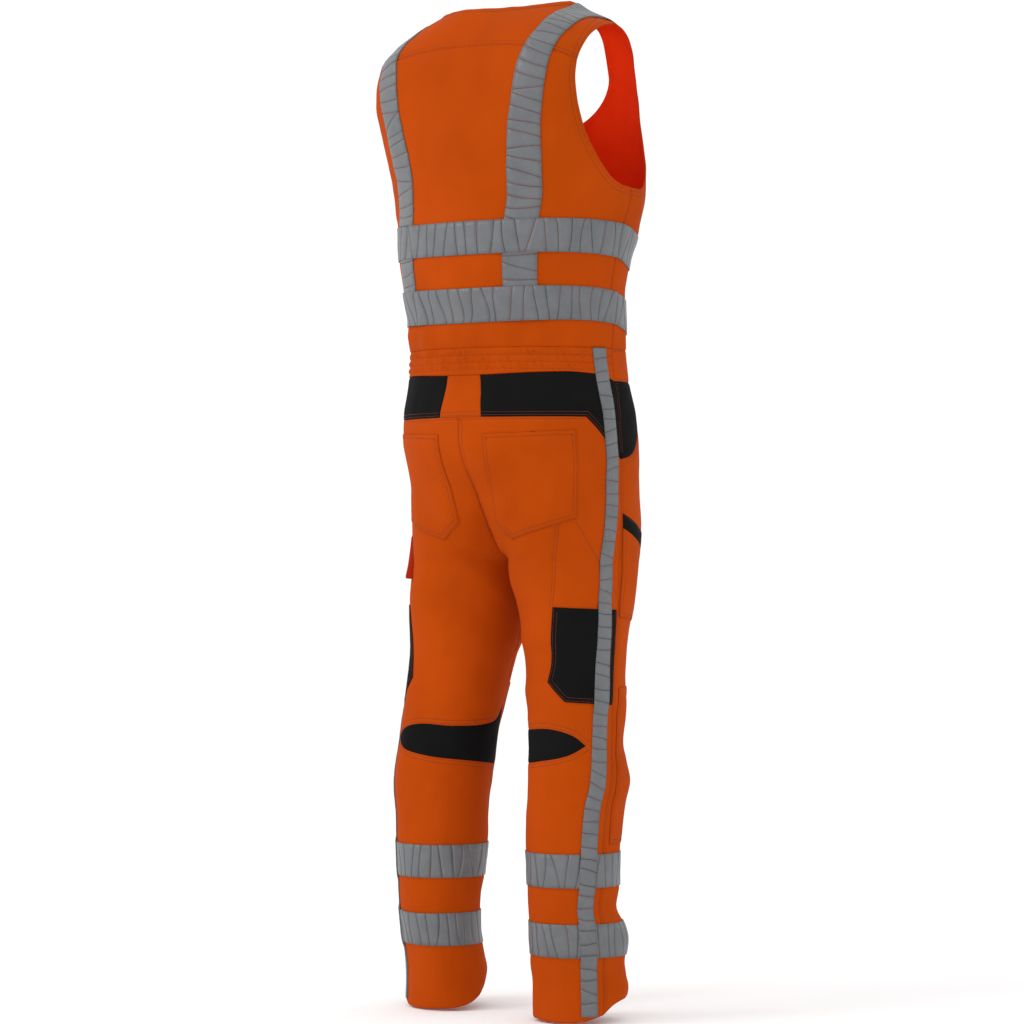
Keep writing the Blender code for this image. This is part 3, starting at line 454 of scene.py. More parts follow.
def inside(places, loop):
    result = np.zeros(len(places), bool)
    for start, end in zip(loop, np.roll(loop, -1, axis=0)):
        if start[1] == end[1]:
            continue
        crosses = (start[1] > places[:, 1]) != (end[1] > places[:, 1])
        level = start[0] + (places[:, 1] - start[1]) * (end[0] - start[0]) / (end[1] - start[1])
        result ^= crosses & (places[:, 0] < level)
    return result


def moved_aside(line, distance, closed=False):
    """A line moved sideways on the flat, to the left of its own direction."""
    if closed:
        run = np.roll(line, -1, axis=0) - np.roll(line, 1, axis=0)
    else:
        run = np.gradient(line, axis=0)
    run /= np.maximum(np.linalg.norm(run, axis=1), 1e-9)[:, None]
    return line + np.stack((-run[:, 1], run[:, 0]), axis=1) * distance


def outline_area(loop):
    """Twice the area of an outline, above 0 where it runs anticlockwise."""
    return (loop[:, 0] * np.roll(loop[:, 1], -1) - np.roll(loop[:, 0], -1) * loop[:, 1]).sum()


def grid_faces(grid):
    return np.stack((grid[:-1, :-1], grid[:-1, 1:], grid[1:, 1:], grid[1:, :-1]), axis=2).reshape(-1, 4)


def flat_mesh(loop, cell, lines):
    """Triangles of a flat piece with points on its edge, just inside it and along its lines."""
    if outline_area(loop) < 0:
        loop = loop[::-1]
    beside_line = 0.0011
    insets = (0.0012, 0.0034)
    closest = 0.0008
    wanted = []
    for line in lines:
        wanted += [line, moved_aside(line, beside_line), moved_aside(line, -beside_line)]
    for inset in insets:
        ring = moved_aside(loop, inset, closed=True)
        wanted.append(ring[distance_to(ring, loop, closed=True) > inset * 0.9])
    row_gap = cell * 0.866
    low, high = loop.min(axis=0), loop.max(axis=0)
    rows = np.arange(low[1] + row_gap / 2, high[1], row_gap)
    fill = [np.stack((np.arange(low[0] + cell * (0.25 + 0.5 * (i % 2)), high[0], cell),) * 2, axis=1)
            for i in range(len(rows))]
    for places, row in zip(fill, rows):
        places[:, 1] = row
    fill = np.concatenate(fill)
    kept = [tuple(place) for place in loop]
    taken = {}

    def box_of(place):
        return int(place[0] // 0.001), int(place[1] // 0.001)

    def near(place, reach):
        column, row = box_of(place)
        for i in (-1, 0, 1):
            for j in (-1, 0, 1):
                for other in taken.get((column + i, row + j), ()):
                    if (other[0] - place[0]) ** 2 + (other[1] - place[1]) ** 2 < reach * reach:
                        return True
        return False

    for place in kept:
        taken.setdefault(box_of(place), []).append(place)
    for places in wanted:
        places = places[inside(places, loop)]
        for place in map(tuple, places):
            if not near(place, closest):
                taken.setdefault(box_of(place), []).append(place)
                kept.append(place)
    tree = KDTree(len(kept))
    for index, place in enumerate(kept):
        tree.insert((*place, 0.0), index)
    tree.balance()
    for place in fill[inside(fill, loop)]:
        if tree.find((*place, 0.0))[2] > cell * 0.45:
            kept.append(tuple(place))
    edges = [(i, (i + 1) % len(loop)) for i in range(len(loop))]
    made = delaunay_2d_cdt([Vector(place) for place in kept], edges, [], 0, 1e-7, False)
    places = np.array([tuple(place) for place in made[0]])
    faces = np.array([tuple(face) for face in made[2]])
    middles = places[faces].mean(axis=1)
    faces = faces[inside(middles, loop)]
    a, b, c = (places[faces[:, i]] for i in range(3))
    doubled = (b[:, 0] - a[:, 0]) * (c[:, 1] - a[:, 1]) - (b[:, 1] - a[:, 1]) * (c[:, 0] - a[:, 0])
    faces = faces[np.abs(doubled) > 1e-11]
    doubled = doubled[np.abs(doubled) > 1e-11]
    # The chart is seen from inside the garment, so a face is turned over to look outwards.
    faces = np.where((doubled > 0)[:, None], faces[:, ::-1], faces)
    return places, faces


def mesh_object(name, points, faces, finishes, chart=None):
    data = bpy.data.meshes.new(name)
    data.from_pydata(points.tolist(), [], faces if isinstance(faces, list) else faces.tolist())
    for finish in finishes:
        data.materials.append(finish)
    if chart is not None:
        layer = data.uv_layers.new(name="chart")
        corners = np.empty(len(data.loops), dtype=np.int32)
        data.loops.foreach_get("vertex_index", corners)
        layer.data.foreach_set("uv", chart[corners].ravel().astype(np.float32))
    data.validate()
    data.shade_smooth()
    made = bpy.data.objects.new(name, data)
    bpy.context.scene.collection.objects.link(made)
    return made


def give_wall(piece, thickness):
    """Gives a sheet its cloth thickness, inwards from its face."""
    wall = piece.modifiers.new("wall", "SOLIDIFY")
    wall.thickness = thickness
    wall.offset = -1.0
    wall.use_even_offset = False
    return wall


def sides_of(places, one_side):
    if one_side:
        return np.full(len(places), float(one_side))
    return np.where(places[:, 0] < 0, -1.0, 1.0)


def laid(places, one_side, lift, relief=1.0):
    """Flat places, in chart metres, laid on the form; a leg piece stays on its own side."""
    side = sides_of(places, one_side)
    points = place_on_form(side, np.abs(places[:, 0]) / CHART_WIDTH, places[:, 1], lift, relief)
    if one_side:
        # Above the crotch the two halves meet at the middle plane, however deep their seam lies.
        around = np.abs(places[:, 0]) / CHART_WIDTH
        from_edge = np.minimum(around, np.abs(1 - around)) * CHART_WIDTH
        drawn = np.exp(-(from_edge / SEAM_SPREAD) ** 2) * (places[:, 1] > CROTCH)
        reach = one_side * points[:, 0]
        points[:, 0] = one_side * np.maximum(reach + (SEAM_GAP - reach) * drawn, SEAM_GAP)
    return points


def ramped(place, low, high, ramp=0.007):
    return np.clip(np.minimum(place - low, high - place) / ramp + 1, 0.0, 1.0)


def raised(places, over):
    """How much higher a piece runs where it crosses others; over is (direction, low, high)."""
    lift = np.zeros(len(places))
    for direction, low, high in over:
        if direction == "around":
            lift = np.maximum(lift, ramped(places[:, 0], low * CHART_WIDTH, high * CHART_WIDTH))
        else:
            lift = np.maximum(lift, ramped(places[:, 1], low, high))
    return lift * (FILM + LAYER_GAP)


def triangle_area(points, faces):
    a, b, c = (points[faces[:, i]] for i in range(3))
    return float(np.linalg.norm(np.cross(b - a, c - a), axis=1).sum() / 2)


def cut_size(places, faces, one_side):
    """Width, length and area of a piece before it is sewn, from the form it is unrolled from."""
    bare = laid(places, one_side, np.zeros(len(places)), relief=0.0)
    low, high = places.min(axis=0), places.max(axis=0)
    spans = []
    for axis in (0, 1):
        longest = 0.0
        for share in np.linspace(0.03, 0.97, 12):
            level = low[1 - axis] + (high[1 - axis] - low[1 - axis]) * share
            band = places[np.abs(places[:, 1 - axis] - level) < 0.006]
            if len(band) < 2:
                continue
            run = np.linspace(band[:, axis].min(), band[:, axis].max(), 60)
            track = np.stack((run, np.full(60, level)) if axis == 0 else (np.full(60, level), run), axis=1)
            spot = laid(track, one_side, np.zeros(60), relief=0.0)
            longest = max(longest, float(np.linalg.norm(np.diff(spot, axis=0), axis=1).sum()))
        spans.append(longest)
    area = triangle_area(bare, faces)
    scale = max(1.0, math.sqrt(area / (spans[0] * spans[1])))
    return (round(spans[0] * scale, 4), round(spans[1] * scale, 4)), area


def stitches(name, rows, finish):
    """Rows of thread: each row is its flat line, its side and a function for its lift."""
    points, faces = [], []
    rings = ((-0.32, 0.32), (0.0, 0.5), (0.32, 0.32))
    corners = ((1, 0), (0, 1), (-1, 0), (0, -1))
    half_step = 0.0012
    for line, one_side, lift_at in rows:
        travelled = travel(line)
        count = int(travelled[-1] / THREAD_PITCH)
        if count < 1:
            continue
        middles = (np.arange(count) + 0.5) * travelled[-1] / count
        centre, ahead, behind = (
            np.stack([np.interp(middles + step, travelled, line[:, i]) for i in (0, 1)], axis=1)
            for step in (0.0, half_step, -half_step))
        lift = lift_at(centre)
        middle = laid(centre, one_side, lift)
        run = laid(ahead, one_side, lift) - laid(behind, one_side, lift)
        run /= np.linalg.norm(run, axis=1)[:, None]
        out = laid(centre, one_side, lift + 0.001) - middle
        out /= np.maximum(np.linalg.norm(out, axis=1), 1e-9)[:, None]
        for spot, forward, outward, sideways in zip(middle, run, out, np.cross(run, out)):
            base = len(points)
            spot = spot + outward * THREAD_WIDTH * 0.15
            ends = [spot + forward * THREAD_LENGTH * share - outward * THREAD_WIDTH * 0.3
                    for share in (-0.5, 0.5)]
            points.append(ends[0])
            for share, rise in rings:
                for a, b in corners:
                    points.append(spot + forward * THREAD_LENGTH * share
                                  + sideways * a * THREAD_WIDTH * rise * 1.2
                                  + outward * b * THREAD_WIDTH * rise)
            points.append(ends[1])
            for i in range(4):
                j = (i + 1) % 4
                faces.append((base, base + 1 + j, base + 1 + i))
                faces.append((base + 13, base + 9 + i, base + 9 + j))
                for ring in (base + 1, base + 5):
                    faces.append((ring + i, ring + j, ring + 4 + j, ring + 4 + i))
    return mesh_object(name, np.array(points), faces, (finish,))


def sewn_piece(name, outline, cloth, held, rests_on, one_side=0, layer=0.0, thickness=CLOTH, cell=0.007,
               lines=(), over=(), relief=None, groove=0.0012):
    """One cut piece: laid on the form, with grooves at its edge and stitch lines and its thread.

    Cloth is its finishes (face, then wrong side), its slot, which is not used, and its thread.
    """
    finishes, slot, thread = cloth
    loop = rounded(to_chart(outline), cell)
    lines = [rounded(to_chart(line), 0.005, closed=False) for line in lines]
    places, faces = flat_mesh(loop, cell, lines)

    def lift_at(spots):
        lift = np.full(len(spots), layer) + raised(spots, over)
        if relief:
            lift += relief(spots)
        if groove:
            lift -= groove * np.exp(-(distance_to(spots, loop, closed=True) / SEAM_SPREAD) ** 2)
        for line in lines:
            lift -= LINE_DIP * np.exp(-(distance_to(spots, line) / LINE_SPREAD) ** 2)
        return lift

    points = laid(places, one_side, lift_at(places))
    piece = mesh_object(name + "_cloth", points, faces, finishes, places)
    wall = give_wall(piece, thickness)
    if len(finishes) > 1:
        wall.material_offset = 1
    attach(piece, "garment")
    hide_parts(name)
    sewing = []
    if thread and lines:
        rows = [(line, one_side, lift_at) for line in lines]
        sewing.append(stitches(name + "_stitching", rows, thread))
        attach(sewing[0], "garment")
    flat, area = cut_size(places, faces, one_side)
    return piece


def mirrored(outline):
    return [(-around, height) for around, height in outline]


def whole(half):
    """An outline across the centre back from its left half, which starts and ends there."""
    return half + [point for point in reversed(mirrored(half)) if point[0] != 0]


def beside(line, distance):
    """A line of places moved sideways by a distance in metres, to the left of its direction."""
    moved = moved_aside(rounded(to_chart(line), 0.012, closed=False), distance)
    return [(x / CHART_WIDTH, y) for x, y in moved]


def pair_of_pieces(name, outline, cloth, held, rests_on, lines=(), right_lines=(), **options):
    """The same piece on the wearer's left and, mirrored, on the right, which may have more lines."""
    for side, word in ((1, "left"), (-1, "right")):
        turned = (lambda line: line) if side > 0 else mirrored
        rows = list(lines) + (list(right_lines) if side < 0 else [])
        supports = [node if node in WHOLE_PIECES else f"{node}_{word}" for node in rests_on]
        sewn_piece(f"{name}_{word}", turned(outline), cloth, held, supports,
                   one_side=side, lines=[turned(line) for line in rows], **options)


WHOLE_PIECES = ("back_panel", "back_yoke", "waistband_back", "hip_yoke")

# ---------------------------------------------------------------------------------------------
# Top: back yoke, back panel and two fronts, joined by lapped seams with two rows of stitching,
# and turned under at the neck and the armholes. The fronts stop beside the zip.
# ---------------------------------------------------------------------------------------------
YOKE_SEAM = [(0.0, 1.451), (0.12, 1.444), (0.225, 1.435), (0.313, 1.4206)]
NECK_BACK = [(0.5, 1.5285), (0.395, 1.5237), (0.229, 1.5169), (0.057, 1.5143), (0.0, 1.5138)]
NECK_FRONT = [(0.5, 1.5285), (0.60, 1.522), (0.70, 1.510), (0.769, 1.493), (0.824, 1.450),
              (0.844, 1.416), (0.870, 1.396), (0.905, 1.379), (0.956, 1.363), (FRONT_EDGE, 1.356)]
ARMHOLE_YOKE = [(0.313, 1.4206), (0.322, 1.437), (0.352, 1.4637), (0.42, 1.485), (0.5, 1.4975)]
ARMHOLE_BACK = [(0.5, 1.2408), (0.446, 1.2455), (0.407, 1.257), (0.379, 1.2766), (0.358, 1.300),
                (0.341, 1.3257), (0.321, 1.3683), (0.313, 1.3974), (0.313, 1.4206)]
ARMHOLE_FRONT = [(0.5, 1.4975), (0.57, 1.491), (0.64, 1.475), (0.675, 1.450), (0.690, 1.420),
                 (0.680, 1.380), (0.655, 1.320), (0.637, 1.275), (0.60, 1.247), (0.56, 1.2415),
                 (0.5, 1.2408)]
ORANGE = ((orange_twill, orange_inside_painted_shade), "orange_twill", orange_thread_and_painted_groove_shade)
HEM_ROWS = (0.0045, 0.0105)                # two rows of stitching inside a turned hem

yoke_seam_whole = mirrored(YOKE_SEAM[:0:-1]) + YOKE_SEAM
neck_back_whole = NECK_BACK + mirrored(NECK_BACK[-2::-1])
yoke_lines = [beside(yoke_seam_whole, 0.0022), beside(yoke_seam_whole, 0.0066)]
yoke_lines.append(beside(neck_back_whole, 0.0055))
back_lines = []
for hem in HEM_ROWS:
    yoke_lines += [beside(ARMHOLE_YOKE, hem), mirrored(beside(ARMHOLE_YOKE, hem))]
    back_lines += [beside(ARMHOLE_BACK, hem), mirrored(beside(ARMHOLE_BACK, hem))]
back_half = [(0.0, WAIST_SEAM), (0.5, WAIST_SEAM)] + ARMHOLE_BACK + YOKE_SEAM[-2::-1]
sewn_piece("back_yoke", whole(YOKE_SEAM + ARMHOLE_YOKE[1:] + NECK_BACK), ORANGE, "hung",
           ["front_left", "front_right"], lines=yoke_lines)
sewn_piece("back_panel", whole(back_half), ORANGE, "hung", ["back_yoke"], lines=back_lines)

front_lines = [beside(ARMHOLE_FRONT, hem) for hem in HEM_ROWS]
front_lines.append(beside(NECK_FRONT, -0.0055))
front_lines.append([(FRONT_EDGE - 0.006, WAIST_SEAM + 0.004), (FRONT_EDGE - 0.006, 1.350)])
front_lines.append([(FRONT_EDGE - 0.018, WAIST_SEAM + 0.004), (FRONT_EDGE - 0.018, 1.354)])
front_lines.append([(0.5045, WAIST_SEAM + 0.004), (0.5045, 1.236)])
pair_of_pieces("front", [(0.5, WAIST_SEAM), (FRONT_EDGE, WAIST_SEAM)] + NECK_FRONT[::-1] + ARMHOLE_FRONT,
               ORANGE, "hung", ["back_yoke"], lines=front_lines)

# ---------------------------------------------------------------------------------------------
# Waist: the back band is drawn in by four rows of stitched elastic, so the cloth between the
# rows stands up in fine gathers. The front bands are plain.
# ---------------------------------------------------------------------------------------------
ELASTIC_ROWS = (WAIST_SEAM - 0.0016, 0.9905, 0.9795, 0.9690, BAND_BOTTOM + 0.0016)
GATHER_PITCH = 0.0095
GATHER_DEPTH = 0.0015
gather_waves = [(chance.uniform(0.75, 1.5), chance.uniform(0, 2 * math.pi), chance.uniform(0.1, 0.9))
                for _ in range(20)]


def gathers(places):
    """Uneven upright folds between the rows of elastic, flat at each row and at the side seams."""
    lift = np.zeros(len(places))
    for index, (top, bottom) in enumerate(zip(ELASTIC_ROWS, ELASTIC_ROWS[1:])):
        share = np.clip((top - places[:, 1]) / (top - bottom), 0, 1)
        swell = np.sin(np.pi * share) ** 1.2 * (0.5 if index == 3 else 1.0)
        fold = np.zeros(len(places))
        for pitch, phase, slant in gather_waves[index * 5:index * 5 + 5]:
            shifted = places[:, 0] + slant * 0.006 * (share - 0.5) * 2
            fold += np.sin(2 * np.pi * shifted / (GATHER_PITCH * pitch) + phase)
        lift += swell * (GATHER_DEPTH * fold / 2.4 + 0.0006)
    calm = np.clip((0.415 * CHART_WIDTH - np.abs(places[:, 0])) / 0.025, 0, 1)
    return lift * calm


band_lines = [[(share, row) for share in (-0.5, -0.25, 0.0, 0.25, 0.5)] for row in ELASTIC_ROWS[1:4]]
sewn_piece("waistband_back", whole([(0.0, BAND_BOTTOM), (0.44, BAND_BOTTOM), (0.5, BAND_BOTTOM_FRONT),
                                    (0.5, WAIST_SEAM), (0.0, WAIST_SEAM)]),
           ORANGE, "gathered", ["back_panel"], cell=0.0026, lines=band_lines, relief=gathers, groove=0.0010)
front_band = [(0.5, BAND_BOTTOM_FRONT), (FRONT_EDGE, BAND_BOTTOM_FRONT), (FRONT_EDGE, WAIST_SEAM),
              (0.5, WAIST_SEAM)]
front_band_lines = [[(0.506, height), (FRONT_EDGE, height)]
                    for height in (WAIST_SEAM - 0.003, BAND_BOTTOM_FRONT + 0.003)]
pair_of_pieces("waistband_front", front_band, ORANGE, "hung", ["front"], lines=front_band_lines)

# ---------------------------------------------------------------------------------------------
# Hips: a small orange centre piece between two black twill inserts, and black facings behind the
# slant mouths of the front pockets. Rust thread shows as two rows on the black.
# ---------------------------------------------------------------------------------------------
YOKE_CENTRE_TOP = 0.055
YOKE_CENTRE_BOTTOM = 0.066
INSERT_CORNER = (0.364, YOKE_BOTTOM)
FACING_CURVE = [(0.5, HIP_POINT), (0.56, 0.843), (0.615, 0.858), (0.66, 0.885), (0.69, 0.920),
                (0.70, BAND_BOTTOM_FRONT)]
black_twill = twill_finish("black_twill_woven", "#0d0d0d", "#111111", "#151514")
BLACK = ((black_twill,), "black_twill", rust_thread)

centre_rows = [[(share, YOKE_BOTTOM + rise) for share in (-YOKE_CENTRE_BOTTOM, 0.0, YOKE_CENTRE_BOTTOM)]
               for rise in (0.0026, 0.0074)]
sewn_piece("hip_yoke", whole([(0.0, YOKE_BOTTOM), (YOKE_CENTRE_BOTTOM, YOKE_BOTTOM),
                              (YOKE_CENTRE_TOP, BAND_BOTTOM), (0.0, BAND_BOTTOM)]),
           ORANGE, "hung", ["waistband_back"], cell=0.006, lines=centre_rows)
insert_outline = [(YOKE_CENTRE_BOTTOM, YOKE_BOTTOM), INSERT_CORNER, (0.5, HIP_POINT),
                  (0.5, BAND_BOTTOM_FRONT), (0.44, BAND_BOTTOM), (YOKE_CENTRE_TOP, BAND_BOTTOM)]
insert_rows = [[(0.068, YOKE_BOTTOM + rise), (0.364 + rise * 0.9, YOKE_BOTTOM + rise),
                (0.497, HIP_POINT + rise * 1.45 + 0.001)] for rise in (0.0030, 0.0076)]
pair_of_pieces("hip_insert", insert_outline, BLACK, "hung", ["waistband_back"], lines=insert_rows)
facing_rows = [[(share, HIP_POINT + 0.010), (share, BAND_BOTTOM_FRONT - 0.002)] for share in (0.505, 0.514)]
pair_of_pieces("pocket_facing", FACING_CURVE + [(0.5, BAND_BOTTOM_FRONT)], BLACK, "hung",
               ["waistband_front"], lines=facing_rows)

# ---------------------------------------------------------------------------------------------
# Legs: a back leg with a black insert let in behind the knee, and a front leg. Two rows of
# stitching follow each lapped seam: the centre back, the outseam, the insert and a thigh line.
# ---------------------------------------------------------------------------------------------
KNEE_INSERT = [(0.0, 0.370), (0.16, 0.3795), (0.268, 0.386), (0.364, 0.397), (0.411, 0.4107),
               (0.373, 0.425), (0.303, 0.434), (0.20, 0.4315), (0.11, 0.4335), (0.05, 0.441), (0.0, 0.462)]
HEM_BACK = [(0.0, 0.030), (0.07, 0.016), (0.16, 0.003), (0.24, 0.0005), (0.42, 0.0005), (0.5, 0.010)]
HEM_FRONT = [(0.5, 0.010), (0.56, 0.024), (0.68, 0.032), (0.84, 0.036), (1.0, 0.030)]
THIGH_SEAM = [(-0.1114, 0.738), (-0.1125, 0.6165)]
THIGH_SLANT = [(-0.0863, 0.742), (-0.0040, 0.634)]


def around_at(height, across):
    """Share around at a distance from the side seam on the left; below 0 is towards the back."""
    shares = np.linspace(0, 1, 161)
    track = smooth_points(np.ones(161), shares, np.full(161, height))
    travelled = travel(track)
    return float(np.interp(travelled[80] + across, travelled, shares))


def down_the_side(line, offset=0.0):
    """A line down the leg whose places are distances from the side seam, as shares around the form.

    Just above the crotch the shares change fast with height, so the levels lie close there.
    """
    across, heights = np.array(line).T
    even = np.linspace(heights[0], heights[-1], max(2, round((heights[0] - heights[-1]) / 0.010)))
    close = CROTCH + np.array((0.0002, 0.0007, 0.0016, 0.0030, 0.0050))
    close = close[(close < heights[0]) & (close > heights[-1])]
    levels = np.unique(np.concatenate((even, heights, close)))[::-1]
    return [(around_at(level, distance + offset), level)
            for level, distance in zip(levels, np.interp(-levels, -heights, across))]


leg_back_lines = []
for gap in (0.0026, 0.0078):
    leg_back_lines += [beside(KNEE_INSERT[:5], -gap), beside(KNEE_INSERT[4:], -gap)]
leg_back_lines.append([(0.003, YOKE_BOTTOM - 0.003), (0.36, YOKE_BOTTOM - 0.003)])
# The centre back seam is stitched down towards the right, and the thigh lines show there alone.
centre_back = [(0.0035, YOKE_BOTTOM - 0.003), (0.0035, 0.790), (0.0035, 0.700)]
right_leg_lines = [centre_back, beside(centre_back, 0.0042), down_the_side(THIGH_SLANT)]
right_leg_lines += [down_the_side(THIGH_SEAM), down_the_side(THIGH_SEAM, offset=-0.0044)]
leg_back_outline = HEM_BACK + [(0.5, HIP_POINT), INSERT_CORNER, (0.0, YOKE_BOTTOM)] + KNEE_INSERT[::-1]
pair_of_pieces("leg_back", leg_back_outline, ORANGE, "hung", ["waistband_back"], lines=leg_back_lines,
               right_lines=right_leg_lines, groove=0.0009)
pair_of_pieces("knee_back", KNEE_INSERT, BLACK, "hung", ["leg_back"])

leg_front_lines = [[(0.505, HIP_POINT - 0.004), (0.505, 0.520), (0.505, 0.260), (0.505, 0.022)],
                   [(0.5135, HIP_POINT - 0.010), (0.5135, 0.520), (0.5135, 0.260), (0.5135, 0.024)]]
mouth = [(0.508, HIP_POINT + 0.0005)] + FACING_CURVE[1:]
fly = [(0.975, BAND_BOTTOM_FRONT - 0.004), (0.972, 0.885), (0.978, 0.862), (0.996, 0.846)]
leg_front_lines += [beside(mouth, -0.0030), beside(mouth, -0.0078), beside(fly, -0.012), beside(fly, -0.016)]
leg_front_outline = HEM_FRONT + [(1.0, FLY_BOTTOM), (FRONT_EDGE, FLY_BOTTOM), (FRONT_EDGE, BAND_BOTTOM_FRONT)]
pair_of_pieces("leg_front", leg_front_outline + FACING_CURVE[::-1], ORANGE, "hung", ["waistband_front"],
               lines=leg_front_lines)

# ---------------------------------------------------------------------------------------------
# Pockets: patches sewn on with two rows of stitching. The back pockets, the thigh pockets and
# the knee pockets are orange, the ruler pockets and the thigh pockets' mouths black.
# ---------------------------------------------------------------------------------------------
PATCH_TOP = LAYER_GAP + FILM
PATCH_WALL = 0.0007
BACK_POCKET = [(0.071, 0.8723), (0.332, 0.878), (0.349, 0.748), (0.150, 0.715), (0.077, 0.742)]
RULER_POCKET_RIGHT = [(-0.312, 0.6155), (-0.494, 0.611), (-0.494, 0.470), (-0.350, 0.475), (-0.289, 0.504)]
RULER_POCKET_LEFT = [(0.375, 0.6155), (0.500, 0.611), (0.500, 0.470), (0.413, 0.475), (0.352, 0.504)]
THIGH_EDGE = [(0.508, 0.733), (0.60, 0.712), (0.72, 0.690), (0.72, 0.712), (0.60, 0.735), (0.508, 0.755)]
THIGH_POCKET = [(0.508, 0.600), (0.71, 0.590), (0.72, 0.690), (0.60, 0.712), (0.508, 0.733)]
KNEE_POCKET = [(0.53, 0.264), (0.93, 0.264), (0.95, 0.495), (0.53, 0.495)]


def inset_rows(outline, corners, gaps):
    """Rows of stitching inside a patch, along a run of its corners, at each distance from its edge."""
    flat = to_chart(outline)
    turn = 1.0 if outline_area(flat) > 0 else -1.0
    rows = []
    for gap in gaps:
        moved = []
        for i in range(len(flat)):
            edges = (flat[i] - flat[i - 1], flat[(i + 1) % len(flat)] - flat[i])
            before, after = (np.array((-y, x)) / np.hypot(x, y) * turn for x, y in edges)
            moved.append(flat[i] + (before + after) * gap / (1 + before @ after))
        rows.append([(moved[i][0] / CHART_WIDTH, moved[i][1]) for i in corners])
    return rows


patch = {"layer": PATCH_TOP + LAYER_GAP, "thickness": PATCH_WALL, "cell": 0.006, "groove": 0.0003}
pocket_rows = inset_rows(BACK_POCKET, (1, 2, 3, 4, 0), (0.0018, 0.0062))
pocket_rows += inset_rows(BACK_POCKET, (0, 1), (0.0060,))
pair_of_pieces("back_pocket", BACK_POCKET, ORANGE, "laid", ["leg_back"], lines=pocket_rows, **patch)
for side, word, outline in ((-1, "right", RULER_POCKET_RIGHT), (1, "left", RULER_POCKET_LEFT)):
    sewn_piece("ruler_pocket_" + word, outline, BLACK, "laid", ["leg_back_" + word], one_side=side,
               lines=inset_rows(outline, (1, 2, 3, 4, 0), (0.0022, 0.0068)), **patch)
pair_of_pieces("thigh_pocket", THIGH_POCKET, ORANGE, "laid", ["leg_front"],
               lines=inset_rows(THIGH_POCKET, (4, 0, 1, 2), (0.0018, 0.0062)), **patch)
pair_of_pieces("thigh_pocket_edge", THIGH_EDGE, BLACK, "laid", ["leg_front"],
               lines=inset_rows(THIGH_EDGE, (3, 4, 5), (0.0022,)), **patch)
knee_rows = inset_rows(KNEE_POCKET, (3, 0, 1, 2), (0.0018, 0.0062))
knee_rows += [[(0.545, 0.480), (0.70, 0.480), (0.93, 0.480)], [(0.545, 0.395), (0.62, 0.388)],
              [(0.545, 0.360), (0.62, 0.368)]]
pair_of_pieces("knee_pocket", KNEE_POCKET, ORANGE, "laid", ["leg_front"], lines=knee_rows, **patch)

# Hammer loop on the left outseam: a strap sewn at both ends, whose middle stands off the leg.
LOOP_TOP = 0.722
LOOP_BOTTOM = 0.655
LOOP_BACK = down_the_side([(-0.0975, LOOP_TOP), (-0.1010, LOOP_BOTTOM)])
LOOP_FRONT = down_the_side([(-0.0545, LOOP_TOP), (-0.0515, LOOP_BOTTOM)])
LOOP_BOW = 0.0085


def loop_bow(places):
    """The strap stands furthest off the leg at the middle of its lower edge."""
    back, front = (np.interp(-places[:, 1], [-height for _, height in edge], [around for around, _ in edge])
                   for edge in (LOOP_BACK, LOOP_FRONT))
    share = (places[:, 0] / CHART_WIDTH - back) / (front - back)
    up = (places[:, 1] - LOOP_BOTTOM) / (LOOP_TOP - LOOP_BOTTOM)
    return LOOP_BOW * (1 - up) * (1 - np.clip(2 * share - 1, -1, 1) ** 4)


# The loop's dark red is painted shade: the orange strap as it looks on its shaded underside.
loop_twill_painted_shade = twill_finish("loop_twill_painted_shade_woven", "#8c1a02", "#961e03", "#a02404")
LOOP_CLOTH = ((loop_twill_painted_shade,), "orange_twill", orange_thread_and_painted_groove_shade)
sewn_piece("hammer_loop", LOOP_FRONT[::-1] + LOOP_BACK, LOOP_CLOTH, "hung", ["leg_back_left"],
           one_side=1, layer=PATCH_TOP, thickness=0.0010, cell=0.004, relief=loop_bow,
           lines=[down_the_side([(-0.0950, LOOP_TOP - 0.004), (-0.0985, LOOP_BOTTOM + 0.003)]),
                  down_the_side([(-0.0570, LOOP_TOP - 0.004), (-0.0540, LOOP_BOTTOM + 0.003)])])

# ---------------------------------------------------------------------------------------------
# Reflective film: 50 mm bands round the body and legs, braces over the shoulders, and 25 mm down
# each outseam. It is a glass bead film pressed on in segments about 17 mm long, so dark carrier
# shows in the thin slanting gaps, with the orange under it painted in shade in some of them.
# ---------------------------------------------------------------------------------------------
WIDE_FILM = 0.050
SIDE_FILM = 0.025
SEGMENT = 0.0180
SEGMENT_GAP = 0.0007
SEGMENT_RISE = 0.00028
BODY_BANDS = (1.0385, 1.1375)
BAND_FALL = 0.011
LEG_BANDS = (0.0965, 0.2005)
RULER_SPAN = (0.4675, 0.6175)
BRACE_INNER = [(0.152, 1.046), (0.152, 1.114), (0.145, 1.190), (0.127, 1.346), (0.116, 1.390),
               (0.122, 1.420), (0.137, 1.444), (0.155, 1.458), (0.235, 1.491), (0.411, 1.5155),
               (0.5, 1.5225), (0.60, 1.5165), (0.70, 1.5035), (0.755, 1.490), (0.800, 1.455),
               (0.822, 1.405), (0.832, 1.330), (0.836, 1.190), (0.848, 1.130), (0.848, 1.046)]
BRACE_OUTER = [(0.246, 1.046), (0.246, 1.114), (0.232, 1.190), (0.214, 1.346), (0.209, 1.390),
               (0.226, 1.438), (0.257, 1.4614), (0.329, 1.486), (0.430, 1.500), (0.5, 1.5015),
               (0.56, 1.4985), (0.640, 1.4865), (0.698, 1.465), (0.722, 1.437), (0.733, 1.395),
               (0.738, 1.330), (0.745, 1.190), (0.752, 1.130), (0.755, 1.046)]
